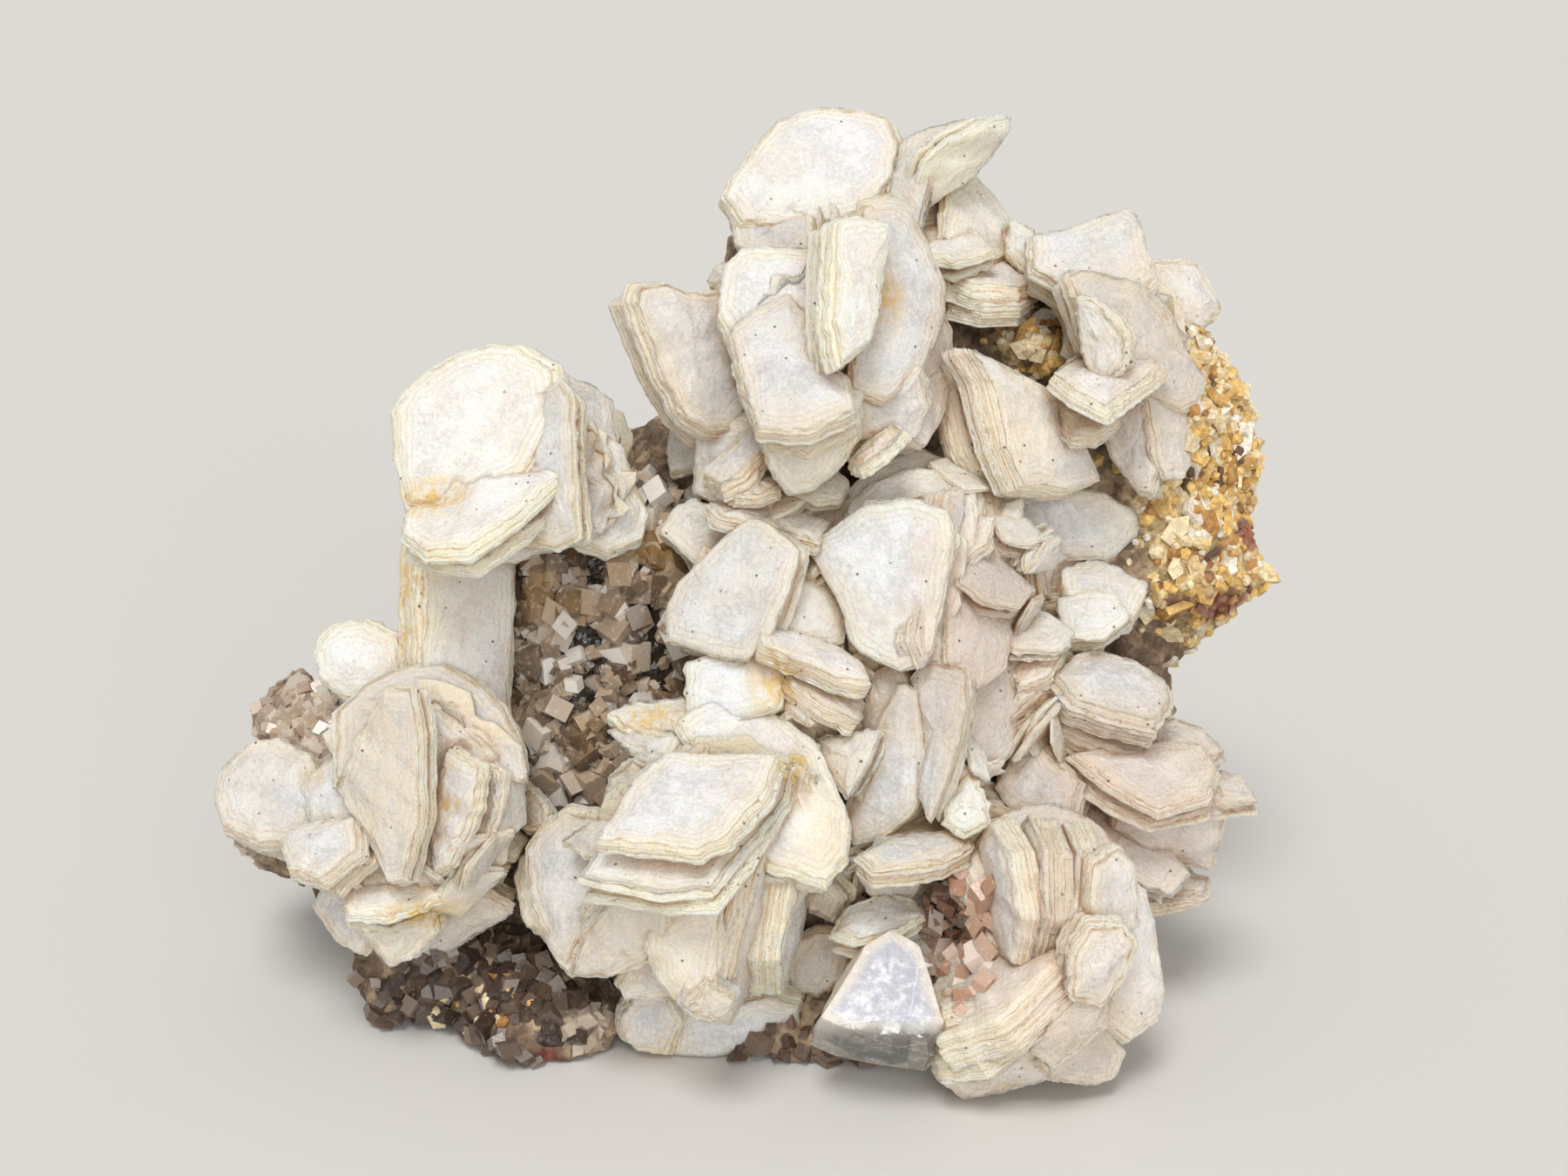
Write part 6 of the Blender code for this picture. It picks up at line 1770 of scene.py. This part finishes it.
@dataclass
class Rock:
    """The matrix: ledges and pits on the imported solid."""

    node: str = "matrix_rock"
    voxel: float = 0.9
    relief: float = 0.9
    edge: float = 45.0
    finish: Finish = field(default_factory=IronRock)

    def build(self) -> Piece:
        """Builds the rock with its ledges and pits."""
        piece = remeshed("rock_body", merged(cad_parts[self.node].data), self.voxel)
        mesh = piece.data

        def lift(at: Vector) -> float:
            """Finds the rock's ledges, pits and crags at a place."""
            ledge = noise.cell(Vector((at.x / 3.1, at.y / 3.1, at.z / 2.2)))
            pits = noise.noise(at / 2.0) + 0.5 * noise.noise(at / 0.9)
            return 0.45 * pits - 0.9 * noise.voronoi(at / 3.4)[0][0] + 0.25 * ledge

        roughen(mesh, self.relief, lift)
        keep_above_floor(mesh)
        mark_zones(mesh, ROCK_ZONES)
        dress(mesh, self.finish, self.edge)
        settle(piece, "iron_rock", [self.node])
        return piece


def crust(bed: Piece, name: str, areas: Sequence[Zone], scatter: Scatter, finish: Finish,
          slot: str = "iron_rock") -> None:
    """Sets grains or small crystals on a piece, as a piece of their own.

    Args:
        bed: The piece that carries them.
        name: The name of the new piece.
        areas: Where the grains stand.
        scatter: What is set there.
        finish: What they are made of.
        slot: A material slot's name, which is not used.
    """
    mark_zones(bed.data, {"cover": areas})
    mesh = scatter.sow(bed, finish)
    keep_above_floor(mesh)
    mark_zones(mesh, ROCK_ZONES)
    settle(link(name, mesh), slot, [])


@dataclass
class Druse:
    """A hollow's crust of small rhombs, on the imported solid's form."""

    node: str
    coarse: Scatter
    fine: Scatter
    finish: Finish = field(default_factory=SmokyDruse)
    holes: tuple[Zone, ...] = ()
    ambers: tuple[Zone, ...] = ()
    voxel: float = 0.6

    def build(self) -> Piece:
        """Roughens the bed and sets large and small rhombs on it."""
        bed = remeshed(f"{self.node}_bed", merged(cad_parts[self.node].data), self.voxel)
        roughen(bed.data, 0.5, lambda at: noise.noise(at / 1.3) - noise.voronoi(at / 2.2)[0][0])
        open_share = 1 - marked(self.holes, points_of(bed.data))
        set_mark(bed.data, "cover", open_share)
        meshes = [scatter.sow(bed, self.finish) for scatter in (self.coarse, self.fine)]
        # Marks the whole bed for its finish to paint near-black, as shade between the rhombs
        set_mark(bed.data, "deep", np.ones(len(open_share)))
        for mesh in meshes:
            set_mark(mesh, "amber", marked(self.ambers, points_of(mesh)))
        bed.data.materials.append(self.finish.material())
        crystals = [link(f"{self.node}_{n}", mesh) for n, mesh in enumerate(meshes)]
        piece = joined(f"{self.node}_rhombs", [bed, *crystals])
        settle(piece, "brown_druse", [self.node])
        return piece


@dataclass
class Studio:
    """A plain pale floor under soft light."""

    floor_size: float = 12.0
    floor_colour: Colour = (0.62, 0.61, 0.59)
    key_power: float = 1.95
    fill_power: float = 1.4
    world: float = 0.46

    def floor(self) -> None:
        """Lays the floor."""
        mesh = bpy.data.meshes.new("floor")
        half = self.floor_size / 2
        corners = [(x * half, y * half, 0) for x, y in ((-1, -1), (1, -1), (1, 1), (-1, 1))]
        mesh.from_pydata(corners, [], [(0, 1, 2, 3)])
        floor = link("floor", mesh)
        floor.location.z = -FLOOR_GAP
        material = bpy.data.materials.new("pale_floor")
        material.use_nodes = True
        shader = material.node_tree.nodes["Principled BSDF"]
        shader.inputs["Base Color"].default_value = (*self.floor_colour, 1)
        shader.inputs["Roughness"].default_value = 0.8
        mesh.materials.append(material)

    def light(self, name: str, place: Point3, spread: float, power: float, colour: Colour) -> None:
        """Hangs one soft far light that faces the specimen.

        Args:
            name: The light's name.
            place: Where it shines from, in metres.
            spread: How wide it looks, in degrees.
            power: How strong it is.
            colour: Its colour.
        """
        lamp = bpy.data.lights.new(name, "SUN")
        lamp.angle = math.radians(spread)
        lamp.energy = power
        lamp.color = colour
        holder = bpy.data.objects.new(name, lamp)
        holder.location = place
        aim = Vector((0, 0, 0.05)) - Vector(place)
        holder.rotation_euler = aim.to_track_quat("-Z", "Y").to_euler()
        bpy.context.scene.collection.objects.link(holder)

    def build(self) -> None:
        """Sets the studio up."""
        self.floor()
        self.light("key_light", (-0.08, -0.26, 0.62), 24, self.key_power, (1.0, 0.99, 0.97))
        self.light("fill_light", (0.2, -0.8, 0.36), 50, self.fill_power, (1.0, 0.99, 0.98))
        world = bpy.data.worlds.new("studio_world")
        world.use_nodes = True
        back = world.node_tree.nodes["Background"]
        back.inputs["Color"].default_value = (1.0, 0.975, 0.94, 1.0)
        back.inputs["Strength"].default_value = self.world
        bpy.context.scene.world = world
        bpy.context.scene.view_settings.view_transform = "Standard"
        SIGHT.camera()


def main() -> None:
    """Builds the studio, the rock, the druse hollows and every group of crystals."""
    logging.basicConfig(level=logging.INFO, format="%(name)s %(message)s")
    Studio().build()
    body = Rock().build()
    earth = EarthGrains()
    # Each druse's colours; its pale colour paints glints on some crystals as a painted highlight
    dark, sandy, rosy = (
        SmokyDruse(f"{name}_druse", dark=dark, smoke=smoke, painted_glint=painted_glint, amber=amber)
        for name, dark, smoke, painted_glint, amber in (
            ("dark", (0.05, 0.032, 0.024), (0.13, 0.085, 0.06), (0.26, 0.19, 0.14), (0.20, 0.10, 0.05)),
            ("sandy", (0.42, 0.31, 0.23), (0.66, 0.54, 0.43), (0.84, 0.76, 0.66), (0.70, 0.50, 0.30)),
            ("rosy", (0.50, 0.28, 0.18), (0.80, 0.58, 0.45), (0.92, 0.78, 0.68), (0.62, 0.36, 0.22)),
        )
    )
    for name, areas, scatter, finish in (
        ("ochre_grains", ROCK_ZONES["ochre"], Scatter(GrainShape.GRAIN, 0.8, 0.9, 2.4, 3, tilt=3.0), earth),
        ("ochre_flakes", ROCK_ZONES["ochre"], Scatter(GrainShape.FLAKE, 1.8, 1.6, 4.4, 4, tilt=1.4), earth),
        ("foot_druse", FOOT_DRUSE, Scatter(GrainShape.RHOMB, 1.5, 1.0, 2.8, 6), dark),
        ("sandy_druse", SANDY_DRUSE, Scatter(GrainShape.RHOMB, 1.2, 0.9, 2.3, 7), sandy),
    ):
        crust(body, name, areas, scatter, finish)
    large, small = Scatter(GrainShape.RHOMB, 1.9, 1.6, 3.9, 11), Scatter(GrainShape.RHOMB, 1.0, 0.8, 2.1, 12)
    Druse("druse_crust", large, small, holes=HOLES, ambers=AMBERS).build()
    large, small = Scatter(GrainShape.RHOMB, 2.2, 1.9, 3.0, 13), Scatter(GrainShape.RHOMB, 1.1, 0.9, 1.6, 14)
    Druse("druse_pocket", large, small, rosy).build()
    beige = PlatedCalcite(name="beige_calcite", rim=(0.84, 0.76, 0.64), side=(0.76, 0.64, 0.48))
    own_ways: dict[str, dict] = {
        "clear_crystal": {
            "slot": "clear_calcite", "finish": ClearCalcite(), "leaves": 1, "growth": CLEAR_GROWTH,
        },
        "right_shelf": {"slot": "beige_calcite", "finish": beige},
        "middle_cluster": {
            "leaves": 3, "fan": 0.12, "reach": 1.07, "fill": 3.5, "growth": CROWDED_GROWTH,
            "sharpness": (0.18, 1.25),
        },
    }
    for seed, (node, clusters) in enumerate(GROUPS.items()):
        kind = ClearBlock if node == "clear_crystal" else CrystalGroup
        piece = kind(node, clusters, seed=seed, **own_ways.get(node, {})).build()
        if node == "lower_right_rosette":
            edge_rhombs = Scatter(GrainShape.RHOMB, 1.5, 1.4, 2.8, 15)
            crust(piece, "pocket_edge_rhombs", POCKET_EDGE, edge_rhombs, rosy, "brown_druse")


if __name__ == "__main__":
    main()
